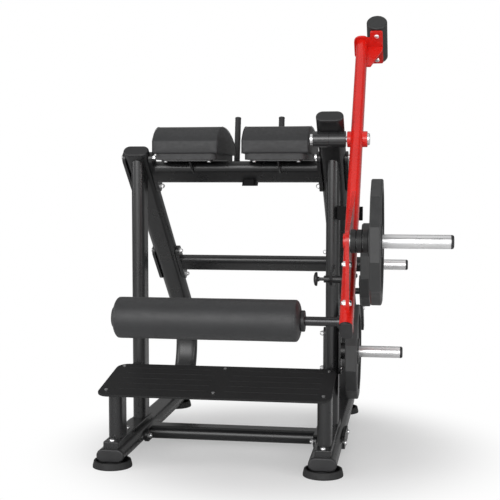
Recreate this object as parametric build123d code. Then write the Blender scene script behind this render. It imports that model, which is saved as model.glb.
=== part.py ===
from build123d import *
import math
import os

# Standing plate-loaded leg machine, millimetres.
# Design frame: X across the machine, Y from the step towards the rear, Z up.
# Y = 0 is the front end of the base tubes, X = 0 is midway between the side frames.

# Side frames
FRAME_X = 433.0
TUBE_WIDE = 115.0
TUBE_THICK = 57.0
WALL = 3.0
BASE_Z = 50.5
BASE_LENGTH = 1211.0
BEND_RADIUS = 253.0
SLANT_ANGLE = 40.5
LEFT_SLANT = 1231.0
RIGHT_SLANT = 1439.0
TUBE_NOSE = FRAME_X + TUBE_WIDE / 2

# Posts and rails standing on the base tubes
UPRIGHT_Y = 496.5
LEG_Y = 114.5
RAIL_WIDE = 67.0
RAIL_HIGH = 26.0
RAIL_START = 8.0
RAIL_END = 573.0
RAIL_BOLT_Y = (30.0, 257.0)
BASE_TOP = BASE_Z + TUBE_THICK / 2
RAIL_TOP = BASE_TOP + RAIL_HIGH

# Feet
FOOT_Y = (32.0, 1184.0)
FOOT_RADIUS = 81.0
FOOT_RIM_RADIUS = 76.0
FOOT_HIGH = 27.0
FOOT_BASE_HIGH = 6.0
FOOT_RIM_WIDE = 8.0
FOOT_DISH_DEEP = 8.0
FOOT_SEAT_RADIUS = 38.0
FOOT_BORE = (15.0, 9.0)

# Crossbeams: distance up the slanted run, and the lower one on the base
UPPER_ALONG = 1097.0
MIDDLE_ALONG = 406.8
LOWER_BEAM_Y = 455.0
BEAM_WIDE = 95.0
BEAM_THICK = 48.0
BEAM_HALF = 364.0
FLANGE_LONG = 240.0
FLANGE_INNER = 17.0
CLAMP_THICK = 14.0
CLAMP_X = 485.0
CLAMP_BOLT_SPACING = 196.0

# Fasteners
BOLT_RADIUS = 6.0
BOLT_HOLE = 6.3
BOLT_HEAD_RADIUS = 11.0
BOLT_HEAD_HIGH = 8.0
NUT_ACROSS = 19.0
NUT_HIGH = 10.0
NUT_REACH = 12.0

# Step
STEP_TILT = 10.0
STEP_FRONT_Y = 20.0
STEP_FRONT_Z = 297.0
STEP_X = -20.0
STEP_LONG = 964.0
STEP_DEEP = 372.0
STEP_THICK = 8.0
STEP_CORNER = 50.0
STEP_BAR = 6.0
GROOVE_LONG = 387.0
GROOVE_WIDE = 6.0
GROOVE_DEEP = 1.5
GROOVE_ROWS = 5
GROOVE_FIRST = 74.0
GROOVE_PITCH = 61.0
GROOVE_X = (-227.0, 235.0)
SCREW_RADIUS = 4.0
SCREW_HEAD_RADIUS = 7.0
SCREW_HEAD_HIGH = 3.5
STEP_ARM_Y = 300.0
STEP_ARM_LONG = 300.0
STEP_ARM_WIDE = 40.0
STEP_ARM_HIGH = 30.0

# Hip pads and their boards
PAD_WIDE = 290.0
PAD_OFFSET = 194.0
PAD_MID_X = 5.0
PAD_FRONT_Y = 320.0
PAD_BACK_Y = 785.0
PAD_BOTTOM = 1285.0
PAD_FRONT_TOP = 1339.0
PAD_TOP = 1404.0
PAD_TOP_Y = 470.0
PAD_BACK_TOP = 1325.0
BOARD_THICK = 26.0
BOARD_INSET = 12.0
BOARD_CORNER = 25.0
BOARD_HOLE = 4.0
BOARD_BOLT_Y = (375.0, 700.0)
BOARD_BOLT_X = (95.0, 35.0)
PAD_BRACKET_THICK = 6.0

# Handle unit
HANDLE_X = 55.0
GRIP_SPREAD = 209.0
GRIP_LEAN = 10.5
GRIP_RADIUS = 14.3
POST_RADIUS = 12.5
CROSSBAR_Y = 828.0
CROSSBAR_Z = 1218.0
CROSSBAR_RADIUS = 19.0
GRIP_TOP = 1470.0
GRIP_START = 42.0
GRIP_END_WALL = 6.0
HANDLE_CLAMP_Y = (530.0, 602.0)
HANDLE_CLAMP_Z = 1146.0
HANDLE_ARM_Z = (1192.0, 1240.0)
HANDLE_HALF = 22.0
CHEEK_THICK = 8.0

# Swing arm: its pivot and its lean from vertical at rest
PIVOT_Y = 315.0
PIVOT_Z = 1341.0
ARM_X = 543.0
ARM_LEAN = 42.0
ARM_STOP_LEAN = 6.0
ARM_WIDE = 48.0
ARM_DEEP = 98.0
ARM_DOWN = 948.0
ARM_UP = 564.0
CAP_THICK = 10.0
CAP_ROUND = 7.0
CAP_SPIGOT = 14.0
ARM_CAP_ROUND = 4.0
HOUSING_RADIUS = 34.0
HOUSING_X = (361.0, 498.0)
HUB_RADIUS = 33.0
HUB_X = (504.0, 587.0)
SHAFT_RADIUS = 12.5
BEARING_OUTER = 23.5
BEARING_WIDE = 12.0
PIVOT_CAP_RADIUS = 25.0
PIVOT_CAP_HIGH = 10.0
WELD_GROOVE_HALF = 2.0

# Gusset, loading sleeve and plates
BOSS_ALONG = 719.5
BOSS_OUT = 223.0
GUSSET_X = 548.0
GUSSET_THICK = 13.0
GUSSET_BOLTS = ((154.0, 771.0), (68.0, 880.0))
GUSSET_ROOT = (329.0, 900.0)
GUSSET_TAIL = (880.0, 66.0, 17.0)
BOSS_RADIUS = 40.0
SLEEVE_RADIUS = 25.0
SLEEVE_WALL = 4.0
SLEEVE_END = 920.0
HORN_CAP_HIGH = 11.0
HORN_CAP_ROUND = 8.0
HORN_PLUG_LONG = 15.0
RING_RADIUS = 42.0
RING_X = 558.0
RING_WIDE = 20.0
RING_PITCH = 21.5
PLATE_BORE = 25.4
WEIGHT_PLATE_FLATS = 442.0
STORED_PLATE_FLATS = 400.0
PLATE_SIDES = 12
PLATE_RIM_WIDE = 34.0
PLATE_HUB_RADIUS = 56.0
PLATE_RECESS = 9.0
PLATE_CHAMFER = 4.0
WEIGHT_PLATE_X = (622.0, 632.0, 671.0)
FRONT_PLATE_X = (500.0, 500.0, 550.0)
REAR_PLATE_X = (533.0, 533.0, 577.0)

# Counterweight
WEIGHT_X = 610.0
WEIGHT_RADIUS = 45.5
WEIGHT_LONG = 207.0
MOUNT_THICK = 10.0
MOUNT_BOLT_OFFSET = 68.0

# Roller
ROLLER_ALONG = 915.0
ROLLER_RADIUS = 77.5
ROLLER_X = (-318.0, 378.0)
ROLLER_DOME = 15.0
ROLLER_CAP_X = ((-326.0, -318.0), (378.0, 393.0))
ROLLER_CAP_RADIUS = 39.0
ROLLER_SHAFT_RADIUS = 17.0
ROLLER_SHOULDER = 3.0
CORE_RADIUS = 24.0

# Storage horns
FRONT_HORN_Z = 424.0
FRONT_HORN_END = 738.0
REAR_HORN_END = 755.0
COLLAR_RADIUS = 36.0
FRONT_COLLAR_LONG = 27.0
REAR_COLLAR_LONG = 32.0
HORN_PLATE_WIDE = 56.0
HORN_PLATE_LONG = 209.0
HORN_PLATE_THICK = 10.0
HORN_BOLT_OFFSET = 77.0

# Plate guard
GUARD_X = 513.0
GUARD_THICK = 14.0
GUARD_WIDE = 50.0
GUARD_LENGTH = 277.0
GUARD_BEND = 29.0
GUARD_BOLTS = (175.0, 20.0)
GUARD_SPACER_RADIUS = 16.0

# Down stop of the arm
STOP_Z = (1003.0, 1060.0)
STOP_GAP = 0.5
BUMPER_THICK = 15.5
BUMPER_X = (519.0, 567.0)

# Pull pin
PIN_Y = 257.0
PIN_Z = 762.0
PIN_RADIUS = 7.0
BARREL_X = (414.0, 499.0)
BARREL_RADIUS = 14.5
BARREL_WALL = 3.0
BARREL_END = 8.0
PIN_X = (380.0, 516.0)
SHOULDER_X = (423.0, 428.0)
KNOB_NECK_END = 395.0
PIN_PLATE_X = (450.0, 462.0)
RUNNING_GAP = 0.08

SLANT = math.radians(SLANT_ANGLE)
SLANT_DIR = Vector(0, -math.cos(SLANT), math.sin(SLANT))
BEND_CENTRE = Vector(0, BASE_LENGTH, BASE_Z + BEND_RADIUS)
SLANT_START = BEND_CENTRE + Vector(0, math.sin(SLANT), math.cos(SLANT)) * BEND_RADIUS


# ---------------------------------------------------------------- helpers
def rod_x(x0, x1, y, z, radius):
    """Round bar along X."""
    plane = Plane(origin=(x0, y, z), x_dir=(0, 1, 0), z_dir=(1, 0, 0))
    return extrude(plane * Circle(radius), x1 - x0)


def ring_x(x0, x1, y, z, outer, inner):
    """Round tube along X."""
    return rod_x(x0, x1, y, z, outer) - rod_x(x0 - 1, x1 + 1, y, z, inner)


def rod_z(z0, z1, x, y, radius):
    """Round bar along Z."""
    return extrude(Plane(origin=(x, y, z0)) * Circle(radius), z1 - z0)


def flat_oval(plane, wide, thick, length, wall=0.0):
    """Flat-oval bar, or tube when it has a wall; wide lies along the plane's x direction."""
    bar = extrude(plane * SlotOverall(wide, thick), length)
    if wall:
        bore = extrude(plane * SlotOverall(wide - 2 * wall, thick - 2 * wall), length)
        bar -= bore
    return bar


def box_between(low, high):
    """Box from its low corner to its high corner."""
    size = [b - a for a, b in zip(low, high)]
    return Pos(*low) * Box(*size, align=(Align.MIN, Align.MIN, Align.MIN))


def yz_profile(points, x0, x1):
    """Plate or bar with a side outline given as (y, z) points."""
    face = Plane(origin=(x0, 0, 0), x_dir=(0, 1, 0), z_dir=(1, 0, 0)) * Polygon(*points, align=None)
    return extrude(face, x1 - x0)


def both_sides(part):
    """A right-hand part and its mirror image."""
    return [part, mirror(part, about=Plane.YZ)]


def group(parts):
    """Separate solids that share one node."""
    solids = []
    for part in parts:
        solids.extend(part.solids())
    return Compound(children=solids)


def round_edges(part, radius, pick):
    """Fillet the edges that the test picks."""
    return fillet([edge for edge in part.edges() if pick(edge)], radius)


def slant_point(along, x=0.0):
    """Point on the centre line of the slanted run."""
    return Vector(x, 0, 0) + SLANT_START + SLANT_DIR * along


def bolt(head_at, direction, length):
    """Dome-head bolt: the head's underside sits at head_at and the shank runs along direction."""
    plane = Plane(origin=head_at, z_dir=direction)
    head = extrude(plane * Circle(BOLT_HEAD_RADIUS), -BOLT_HEAD_HIGH)
    top = [e for e in head.edges() if (e.center() - Vector(*head_at)).dot(Vector(*direction)) < -1]
    return fillet(top, BOLT_HEAD_HIGH * 0.8) + extrude(plane * Circle(BOLT_RADIUS), length)


def acorn_nut(face_at, direction):
    """Closed domed nut that stands on face_at and points along direction."""
    plane = Plane(origin=face_at, z_dir=direction)
    body = extrude(plane * RegularPolygon(NUT_ACROSS / 2, 6, major_radius=False), NUT_HIGH)
    dome = extrude(plane * Circle(NUT_ACROSS / 2 - 0.8), NUT_HIGH + 7)
    top = [e for e in dome.edges() if (e.center() - Vector(*face_at)).dot(Vector(*direction)) > 8]
    thread = extrude(plane * Circle(BOLT_RADIUS), NUT_REACH)
    return body + fillet(top, 7) - thread


# ---------------------------------------------------------------- side frames
def frame_path(slant_length):
    """Base run, rear bend and slanted run, in the side plane."""
    base = Line((0, BASE_Z), (BASE_LENGTH, BASE_Z))
    bend = JernArc(base @ 1, base % 1, BEND_RADIUS, 180 - SLANT_ANGLE)
    slant = Line(bend @ 1, (bend @ 1) + (bend % 1) * slant_length)
    return Plane(origin=(FRAME_X, 0, 0), x_dir=(0, 1, 0), z_dir=(1, 0, 0)) * (base + bend + slant)


def frame_bar(slant_length, trim=0.0):
    """Right-hand side frame as a solid flat-oval bar."""
    start = Plane(origin=(FRAME_X, 0, BASE_Z), x_dir=(-1, 0, 0), z_dir=(0, 1, 0))
    section = start * SlotOverall(TUBE_WIDE - 2 * trim, TUBE_THICK - 2 * trim)
    return sweep(section, frame_path(slant_length))


RIGHT_BAR = frame_bar(RIGHT_SLANT)
LEFT_BAR = mirror(frame_bar(LEFT_SLANT), about=Plane.YZ)


def clamp_bolt_points():
    """Where each clamp bolt crosses the side frame, as (y, z)."""
    half = CLAMP_BOLT_SPACING / 2
    points = [(LOWER_BEAM_Y + side * half, BASE_Z) for side in (-1, 1)]
    for along in (UPPER_ALONG, MIDDLE_ALONG):
        for side in (-1, 1):
            at = slant_point(along + side * half)
            points.append((at.Y, at.Z))
    return points


def frame_tube(slant_length):
    """Hollow right-hand side frame with its bolt holes."""
    tube = frame_bar(slant_length) - frame_bar(slant_length, WALL)
    for y, z in clamp_bolt_points():
        tube -= rod_x(FRAME_X - TUBE_WIDE, FRAME_X + TUBE_WIDE, y, z, BOLT_HOLE)
    for y in RAIL_BOLT_Y:
        tube -= rod_z(BASE_Z, BASE_TOP + 1, FRAME_X, y, BOLT_HOLE)
    for y in FOOT_Y:
        tube -= rod_z(0, BASE_Z, FRAME_X, y, BOLT_HOLE)
    return tube


def frame_end_plane(slant_length):
    """Plane across the top end of a slanted run."""
    return Plane(origin=slant_point(slant_length, FRAME_X), x_dir=(1, 0, 0), z_dir=SLANT_DIR)


def oval_cap(plane, wide, thick, wall, high, round_radius):
    """Plug cap on a flat-oval tube: a rounded lid and a spigot inside the tube."""
    lid = extrude(plane * SlotOverall(wide, thick), high)
    outer = [e for e in lid.edges() if (e.center() - plane.origin).dot(plane.z_dir) > high * 0.9]
    lid = fillet(outer, round_radius)
    slack = 2 * wall + 0.4
    spigot = extrude(plane * SlotOverall(wide - slack, thick - slack), -CAP_SPIGOT)
    return lid + spigot


def make_tube_end_caps():
    front = Plane(origin=(FRAME_X, 0, BASE_Z), x_dir=(1, 0, 0), z_dir=(0, -1, 0))
    caps = both_sides(oval_cap(front, TUBE_WIDE, TUBE_THICK, WALL, CAP_THICK, CAP_ROUND))
    top = frame_end_plane(RIGHT_SLANT)
    caps.append(oval_cap(top, TUBE_WIDE, TUBE_THICK, WALL, CAP_THICK, CAP_ROUND))
    top = frame_end_plane(LEFT_SLANT)
    left = oval_cap(top, TUBE_WIDE, TUBE_THICK, WALL, CAP_THICK, CAP_ROUND)
    caps.append(mirror(left, about=Plane.YZ))
    return group(caps)


def post(y, high):
    """Right-hand flat-oval post, long side along Y, standing on the base rail."""
    plane = Plane(origin=(FRAME_X, y, RAIL_TOP), x_dir=(0, 1, 0), z_dir=(0, 0, 1))
    return flat_oval(plane, TUBE_WIDE, TUBE_THICK, high, WALL)


def horn_bolt_points():
    return [FRONT_HORN_Z - HORN_BOLT_OFFSET, FRONT_HORN_Z + HORN_BOLT_OFFSET]


def make_upright():
    """Right-hand upright, cut to the underside of the slanted run."""
    body = post(UPRIGHT_Y, 1400)
    under = SLANT_START - Vector(0, math.sin(SLANT), math.cos(SLANT)) * (TUBE_THICK / 2)
    plane = Plane(origin=under, x_dir=(1, 0, 0), z_dir=(0, -math.sin(SLANT), -math.cos(SLANT)))
    return split(body, bisect_by=plane, keep=Keep.TOP)


def step_plane():
    """Top face of the step, from the middle of its front edge."""
    tilt = math.radians(STEP_TILT)
    origin = (STEP_X, STEP_FRONT_Y, STEP_FRONT_Z)
    return Plane(origin=origin, x_dir=(1, 0, 0), z_dir=(0, -math.sin(tilt), math.cos(tilt)))


def make_front_leg():
    """Right-hand front leg, cut to the underside of the step's front bar."""
    body = post(LEG_Y, 300)
    under = step_plane().offset(-STEP_THICK - STEP_BAR)
    return split(body, bisect_by=under, keep=Keep.BOTTOM)


def make_base_rails():
    low = (FRAME_X - RAIL_WIDE / 2, RAIL_START, BASE_TOP)
    high = (FRAME_X + RAIL_WIDE / 2, RAIL_END, RAIL_TOP)
    rail = box_between(low, high)
    rail = fillet(rail.edges().filter_by(Axis.Z), 8)
    rail = fillet(rail.faces().sort_by(Axis.Z)[-1].edges(), 4)
    for y in RAIL_BOLT_Y:
        rail -= rod_z(BASE_TOP - 1, RAIL_TOP + 1, FRAME_X, y, BOLT_HOLE)
    return group(both_sides(rail))


def make_feet():
    """Four round rubber feet, dished so that the tube sits inside the rim."""
    feet = []
    seat = BASE_Z - TUBE_THICK / 2
    dish = seat - FOOT_DISH_DEEP
    outline = Polyline(
        (0, 0), (FOOT_RADIUS, 0), (FOOT_RADIUS, FOOT_BASE_HIGH), (FOOT_RIM_RADIUS, FOOT_HIGH),
        (FOOT_RIM_RADIUS - FOOT_RIM_WIDE, FOOT_HIGH), (FOOT_RIM_RADIUS - FOOT_RIM_WIDE - 6, dish),
        (FOOT_SEAT_RADIUS + 2, dish), (FOOT_SEAT_RADIUS, seat), (0, seat), close=True)
    foot = revolve(Plane.XZ * make_face(outline), Axis.Z)
    bore_radius, bore_deep = FOOT_BORE
    foot -= rod_z(-1, bore_deep, 0, 0, bore_radius)
    foot -= rod_z(0, seat + 1, 0, 0, BOLT_HOLE)
    for y in FOOT_Y:
        placed = Pos(FRAME_X, y, 0) * foot
        feet.extend(both_sides(placed - RIGHT_BAR))
    return group(feet)


def make_foot_bolts():
    """Bolts up through the feet into the base tubes."""
    bolts = []
    for y in FOOT_Y:
        bolts.extend(both_sides(bolt((FRAME_X, y, FOOT_BORE[1]), (0, 0, 1), 30)))
    return group(bolts)


# ---------------------------------------------------------------- crossbeams
def slant_beam_plane(along, x):
    """Plane across a beam that lies on the slanted run, long side up the slant."""
    return Plane(origin=slant_point(along, x), x_dir=SLANT_DIR, z_dir=(1, 0, 0))


def lower_beam_plane(x):
    return Plane(origin=(x, LOWER_BEAM_Y, BASE_Z), x_dir=(0, 1, 0), z_dir=(1, 0, 0))


def saddle(plane, thick):
    """Round-ended clamp plate with its two bolt holes and a saddle cut by the frame tube."""
    half = CLAMP_BOLT_SPACING / 2
    outline = SlotOverall(FLANGE_LONG, TUBE_THICK)
    holes = Pos(-half, 0) * Circle(BOLT_HOLE) + Pos(half, 0) * Circle(BOLT_HOLE)
    flange = extrude(plane * (outline - holes), thick)
    flange = round_edges(flange, 2, lambda e: e.length > 60 and abs(e.center().X - plane.origin.X) > 1)
    return flange - RIGHT_BAR


def beam(section_plane, wide, thick):
    """Crossbeam with a saddle flange welded on each end."""
    tube = flat_oval(section_plane(-BEAM_HALF), wide, thick, 2 * BEAM_HALF, WALL)
    flange = saddle(section_plane(BEAM_HALF), FLANGE_INNER)
    return tube + flange + mirror(flange, about=Plane.YZ)


def upper_section(x):
    return slant_beam_plane(UPPER_ALONG, x)


def middle_section(x):
    return slant_beam_plane(MIDDLE_ALONG, x)


def make_clamp_plates():
    plates = []
    for section in (upper_section, middle_section, lower_beam_plane):
        plates.extend(both_sides(saddle(section(CLAMP_X), CLAMP_THICK)))
    return group(plates)


def make_frame_bolts():
    """Clamp bolts, rail bolts, horn bolts and plate guard bolts."""
    bolts = []
    outside = CLAMP_X + CLAMP_THICK
    length = outside - BEAM_HALF + NUT_REACH - 1
    for y, z in clamp_bolt_points():
        bolts.extend(both_sides(bolt((outside, y, z), (-1, 0, 0), length)))
    for y in RAIL_BOLT_Y:
        bolts.extend(both_sides(bolt((FRAME_X, y, RAIL_TOP), (0, 0, -1), RAIL_HIGH + 12)))
    outside = FRAME_X + TUBE_THICK / 2 + HORN_PLATE_THICK
    length = TUBE_THICK + 2 * HORN_PLATE_THICK + NUT_REACH - 1
    for z in horn_bolt_points():
        bolts.append(bolt((outside, UPRIGHT_Y, z), (-1, 0, 0), length))
    for along in GUARD_BOLTS:
        at = slant_point(along, GUARD_X + GUARD_THICK)
        bolts.append(bolt(at, (-1, 0, 0), at.X - TUBE_NOSE + 10))
    return group(bolts)


def make_frame_nuts():
    nuts = []
    for y, z in clamp_bolt_points():
        nuts.extend(both_sides(acorn_nut((BEAM_HALF, y, z), (-1, 0, 0))))
    inside = FRAME_X - TUBE_THICK / 2 - HORN_PLATE_THICK
    for z in horn_bolt_points():
        nuts.append(acorn_nut((inside, UPRIGHT_Y, z), (-1, 0, 0)))
    return group(nuts)


# ---------------------------------------------------------------- step
def step_screw_spots():
    """Screw places on the step, in its own plane."""
    ends = STEP_LONG / 2 - 32
    return [(x, y) for x in (-ends, 0, ends) for y in (55, STEP_DEEP - 32)]


def make_step_plate():
    plane = step_plane()
    blank = Pos(0, STEP_DEEP / 2) * RectangleRounded(STEP_LONG, STEP_DEEP, STEP_CORNER)
    tread = extrude(plane * blank, -STEP_THICK)
    tread = round_edges(tread, 2, lambda e: abs((e.center() - plane.origin).dot(plane.z_dir)) < 1)
    for x in GROOVE_X:
        for row in range(GROOVE_ROWS):
            spot = Pos(x, GROOVE_FIRST + row * GROOVE_PITCH) * SlotOverall(GROOVE_LONG, GROOVE_WIDE)
            tread -= extrude(plane * spot, -GROOVE_DEEP)
    for x, y in step_screw_spots():
        tread -= extrude(plane * Pos(x, y) * Circle(SCREW_RADIUS + 0.3), -STEP_THICK)
    return tread


def make_step_frame():
    """Two flat bars under the step and an arm from each front leg back to its upright."""
    plane = step_plane().offset(-STEP_THICK)
    bar_long = STEP_LONG - 24
    front = extrude(plane * Pos(0, 97) * Rectangle(bar_long, 126), -STEP_BAR)
    rear = extrude(plane * Pos(0, STEP_DEEP - 34) * Rectangle(bar_long, 50), -STEP_BAR)
    bars = front + rear
    for side in (-1, 1):
        x = side * FRAME_X - STEP_X
        footprint = Pos(x, STEP_ARM_Y) * Rectangle(STEP_ARM_WIDE, STEP_ARM_LONG)
        bars += extrude(plane.offset(-STEP_BAR) * footprint, -STEP_ARM_HIGH)
    for y in (UPRIGHT_Y, LEG_Y):
        bars -= group(both_sides(post_bar(y)))
    for x, y in step_screw_spots():
        bars -= extrude(plane * Pos(x, y) * Circle(SCREW_RADIUS), -STEP_BAR)
    return bars


def post_bar(y):
    """Solid envelope of a post below the step's bars."""
    plane = Plane(origin=(FRAME_X, y, RAIL_TOP), x_dir=(0, 1, 0), z_dir=(0, 0, 1))
    body = flat_oval(plane, TUBE_WIDE, TUBE_THICK, 500)
    if y == LEG_Y:
        under = step_plane().offset(-STEP_THICK - STEP_BAR)
        body = split(body, bisect_by=under, keep=Keep.BOTTOM)
    return body


def make_step_screws():
    plane = step_plane()
    screws = []
    for x, y in step_screw_spots():
        head = extrude(plane * Pos(x, y) * Circle(SCREW_HEAD_RADIUS), SCREW_HEAD_HIGH)
        screws.append(head + extrude(plane * Pos(x, y) * Circle(SCREW_RADIUS), -STEP_THICK - STEP_BAR))
    return group(screws)


# ---------------------------------------------------------------- hip pads
def pad_x(side):
    return PAD_MID_X + side * PAD_OFFSET


def make_pad(side):
    """D-shaped cushion, high in front and falling towards the rear."""
    front = ThreePointArc((PAD_FRONT_Y, PAD_FRONT_TOP), (382, 1390), (PAD_TOP_Y, PAD_TOP))
    back = ThreePointArc((PAD_TOP_Y, PAD_TOP), (646, 1381), (PAD_BACK_Y, PAD_BACK_TOP))
    sides = Polyline(
        (PAD_BACK_Y, PAD_BACK_TOP), (PAD_BACK_Y, PAD_BOTTOM),
        (PAD_FRONT_Y, PAD_BOTTOM), (PAD_FRONT_Y, PAD_FRONT_TOP))
    profile = make_face([*front.edges(), *back.edges(), *sides.edges()])
    start = Plane(origin=(pad_x(side) - PAD_WIDE / 2, 0, 0), x_dir=(0, 1, 0), z_dir=(1, 0, 0))
    return extrude(start * profile, PAD_WIDE)


def pad_bolt_spots(side):
    """Pad bolt places, wide apart in front and close together at the rear."""
    spots = []
    for offset, y in zip(BOARD_BOLT_X, BOARD_BOLT_Y):
        spots.extend([(pad_x(side) - offset, y), (pad_x(side) + offset, y)])
    return spots


def make_board(side):
    """Plywood board under a pad, with rounded corners and blind screw holes."""
    middle = (PAD_FRONT_Y + PAD_BACK_Y) / 2
    deep = PAD_BACK_Y - PAD_FRONT_Y - 2 * BOARD_INSET
    outline = RectangleRounded(PAD_WIDE - 2 * BOARD_INSET, deep, BOARD_CORNER)
    plane = Plane(origin=(pad_x(side), middle, PAD_BOTTOM - BOARD_THICK))
    board = extrude(plane * outline, BOARD_THICK)
    for x, y in pad_bolt_spots(side):
        board -= rod_z(PAD_BOTTOM - BOARD_THICK - 1, PAD_BOTTOM - 6, x, y, BOARD_HOLE)
    return board


def upper_beam_bar():
    """Solid envelope of the upper crossbeam."""
    return flat_oval(upper_section(-BEAM_HALF), TUBE_WIDE, TUBE_THICK, 2 * BEAM_HALF)


def make_pad_brackets():
    """Under each board a T-shaped plate on one upright web, welded to the upper beam."""
    brackets = []
    top = PAD_BOTTOM - BOARD_THICK
    under = top - PAD_BRACKET_THICK
    half = PAD_BRACKET_THICK / 2
    for side in (-1, 1):
        x = pad_x(side)
        head = box_between((x - 112, 352, under), (x + 112, 400, top))
        head = fillet(head.edges().filter_by(Axis.Z), 16)
        bracket = head + box_between((x - 50, 390, under), (x + 50, 722, top))
        for bolt_x, y in pad_bolt_spots(side):
            bracket -= rod_z(under - 1, top + 1, bolt_x, y, BOARD_HOLE + 0.2)
        web = [(420, under), (470, 1216), (560, 1180), (640, 1195), (700, under)]
        bracket += yz_profile(web, x - half, x + half)
        brackets.append(bracket - upper_beam_bar())
    return group(brackets)


def make_pad_bolts():
    bolts = []
    under = PAD_BOTTOM - BOARD_THICK - PAD_BRACKET_THICK
    for side in (-1, 1):
        for x, y in pad_bolt_spots(side):
            head = rod_z(under - 5, under, x, y, 8)
            head = fillet(head.faces().sort_by(Axis.Z)[0].edges(), 3)
            bolts.append(head + rod_z(under, PAD_BOTTOM - 6, x, y, BOARD_HOLE))
    return group(bolts)


# ---------------------------------------------------------------- handles
def make_handle_arm():
    """Arm from a clamp under the upper beam back to the grip crossbar."""
    front, back = HANDLE_CLAMP_Y
    low, high = HANDLE_ARM_Z
    cheek = [
        (front, HANDLE_CLAMP_Z), (back, HANDLE_CLAMP_Z), (650, low), (840, low), (840, high),
        (back + 10, high), (560, 1200)]
    left = HANDLE_X - HANDLE_HALF
    right = HANDLE_X + HANDLE_HALF
    arm = box_between((left, front, HANDLE_CLAMP_Z), (right, back, 1175))
    arm += box_between((left, back + 10, low), (right, CROSSBAR_Y, high))
    for x in (left - CHEEK_THICK, right):
        arm += yz_profile(cheek, x, x + CHEEK_THICK)
    half = GRIP_SPREAD / 2 + 16
    crossbar = rod_x(HANDLE_X - half, HANDLE_X + half, CROSSBAR_Y, CROSSBAR_Z, CROSSBAR_RADIUS)
    return arm - upper_beam_bar() + crossbar


def grip_plane(side):
    """Foot of a grip post on the crossbar's centre line."""
    lean = math.radians(GRIP_LEAN)
    origin = (HANDLE_X + side * GRIP_SPREAD / 2, CROSSBAR_Y, CROSSBAR_Z)
    return Plane(origin=origin, x_dir=(1, 0, 0), z_dir=(0, math.sin(lean), math.cos(lean)))


def grip_length():
    return (GRIP_TOP - CROSSBAR_Z) / math.cos(math.radians(GRIP_LEAN))


def make_grip_posts():
    posts = []
    left, right = HANDLE_X - GRIP_SPREAD, HANDLE_X + GRIP_SPREAD
    bar = rod_x(left, right, CROSSBAR_Y, CROSSBAR_Z, CROSSBAR_RADIUS)
    for side in (-1, 1):
        body = extrude(grip_plane(side) * Circle(POST_RADIUS), grip_length() - GRIP_END_WALL)
        posts.append(body - bar)
    return group(posts)


def make_grip_sleeves():
    """Closed rubber sleeves with rounded tops."""
    sleeves = []
    for side in (-1, 1):
        start = grip_plane(side).offset(GRIP_START)
        body = extrude(start * Circle(GRIP_RADIUS), grip_length() - GRIP_START)
        top = [e for e in body.edges() if (e.center() - start.origin).dot(start.z_dir) > 50]
        top = [e for e in top if e.geom_type == GeomType.CIRCLE]
        bore = extrude(start * Circle(POST_RADIUS), grip_length() - GRIP_START - GRIP_END_WALL)
        sleeves.append(fillet(top, 4) - bore)
    return group(sleeves)


# ---------------------------------------------------------------- pivot
def make_pivot_housing():
    """Round housing welded under the right slanted run, bored for two bearings."""
    x0, x1 = HOUSING_X
    middle = (x0 + x1) / 2
    body = rod_x(x0, x1, PIVOT_Y, PIVOT_Z, HOUSING_RADIUS)
    body = fillet(body.edges(), 2)
    groove = (middle - WELD_GROOVE_HALF, middle + WELD_GROOVE_HALF)
    body -= ring_x(*groove, PIVOT_Y, PIVOT_Z, HOUSING_RADIUS + 1, HOUSING_RADIUS - 2)
    body -= rod_x(x0 - 1, x0 + BEARING_WIDE, PIVOT_Y, PIVOT_Z, BEARING_OUTER)
    body -= rod_x(x1 - BEARING_WIDE, x1 + 1, PIVOT_Y, PIVOT_Z, BEARING_OUTER)
    return body - rod_x(x0 - 1, x1 + 1, PIVOT_Y, PIVOT_Z, SHAFT_RADIUS + 4)


def make_pivot_bearings():
    x0, x1 = HOUSING_X
    starts = (x0, x1 - BEARING_WIDE)
    return group([
        ring_x(x, x + BEARING_WIDE, PIVOT_Y, PIVOT_Z, BEARING_OUTER, SHAFT_RADIUS + 0.05)
        for x in starts])


def make_pivot_shaft():
    return rod_x(HOUSING_X[0] - 10, HUB_X[1] + 4, PIVOT_Y, PIVOT_Z, SHAFT_RADIUS)


def make_pivot_caps():
    """Retaining nut on the inner end and a domed cap on the outer end of the shaft."""
    inner_end = HOUSING_X[0] - 0.5
    nut = ring_x(inner_end - 10.5, inner_end, PIVOT_Y, PIVOT_Z, BEARING_OUTER, SHAFT_RADIUS)
    cap = rod_x(HUB_X[1], HUB_X[1] + PIVOT_CAP_HIGH, PIVOT_Y, PIVOT_Z, PIVOT_CAP_RADIUS)
    cap = round_edges(cap, 5, lambda e: e.center().X > HUB_X[1] + PIVOT_CAP_HIGH - 2)
    socket = rod_x(HUB_X[1], HUB_X[1] + 4, PIVOT_Y, PIVOT_Z, SHAFT_RADIUS)
    return group([nut, cap - socket])


# ---------------------------------------------------------------- swing arm
def arm_plane(lean=ARM_LEAN):
    """Arm frame: x across, y towards the arm's front, z down the arm from the pivot."""
    angle = math.radians(lean)
    down = (0, -math.sin(angle), -math.cos(angle))
    return Plane(origin=(ARM_X, PIVOT_Y, PIVOT_Z), x_dir=(1, 0, 0), z_dir=down)


def arm_bar(trim=0.0):
    """Flat-oval bar of the swing arm, long side front to back."""
    start = arm_plane().offset(-ARM_UP) * Rot(0, 0, 90)
    plane = Plane(start)
    return extrude(plane * SlotOverall(ARM_DEEP - 2 * trim, ARM_WIDE - 2 * trim), ARM_UP + ARM_DOWN)


def arm_rod(x0, x1, out, along, radius):
    """Round bar along X at a place on the arm."""
    at = arm_plane().from_local_coords((0, out, along))
    return rod_x(x0, x1, at.Y, at.Z, radius)


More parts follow.
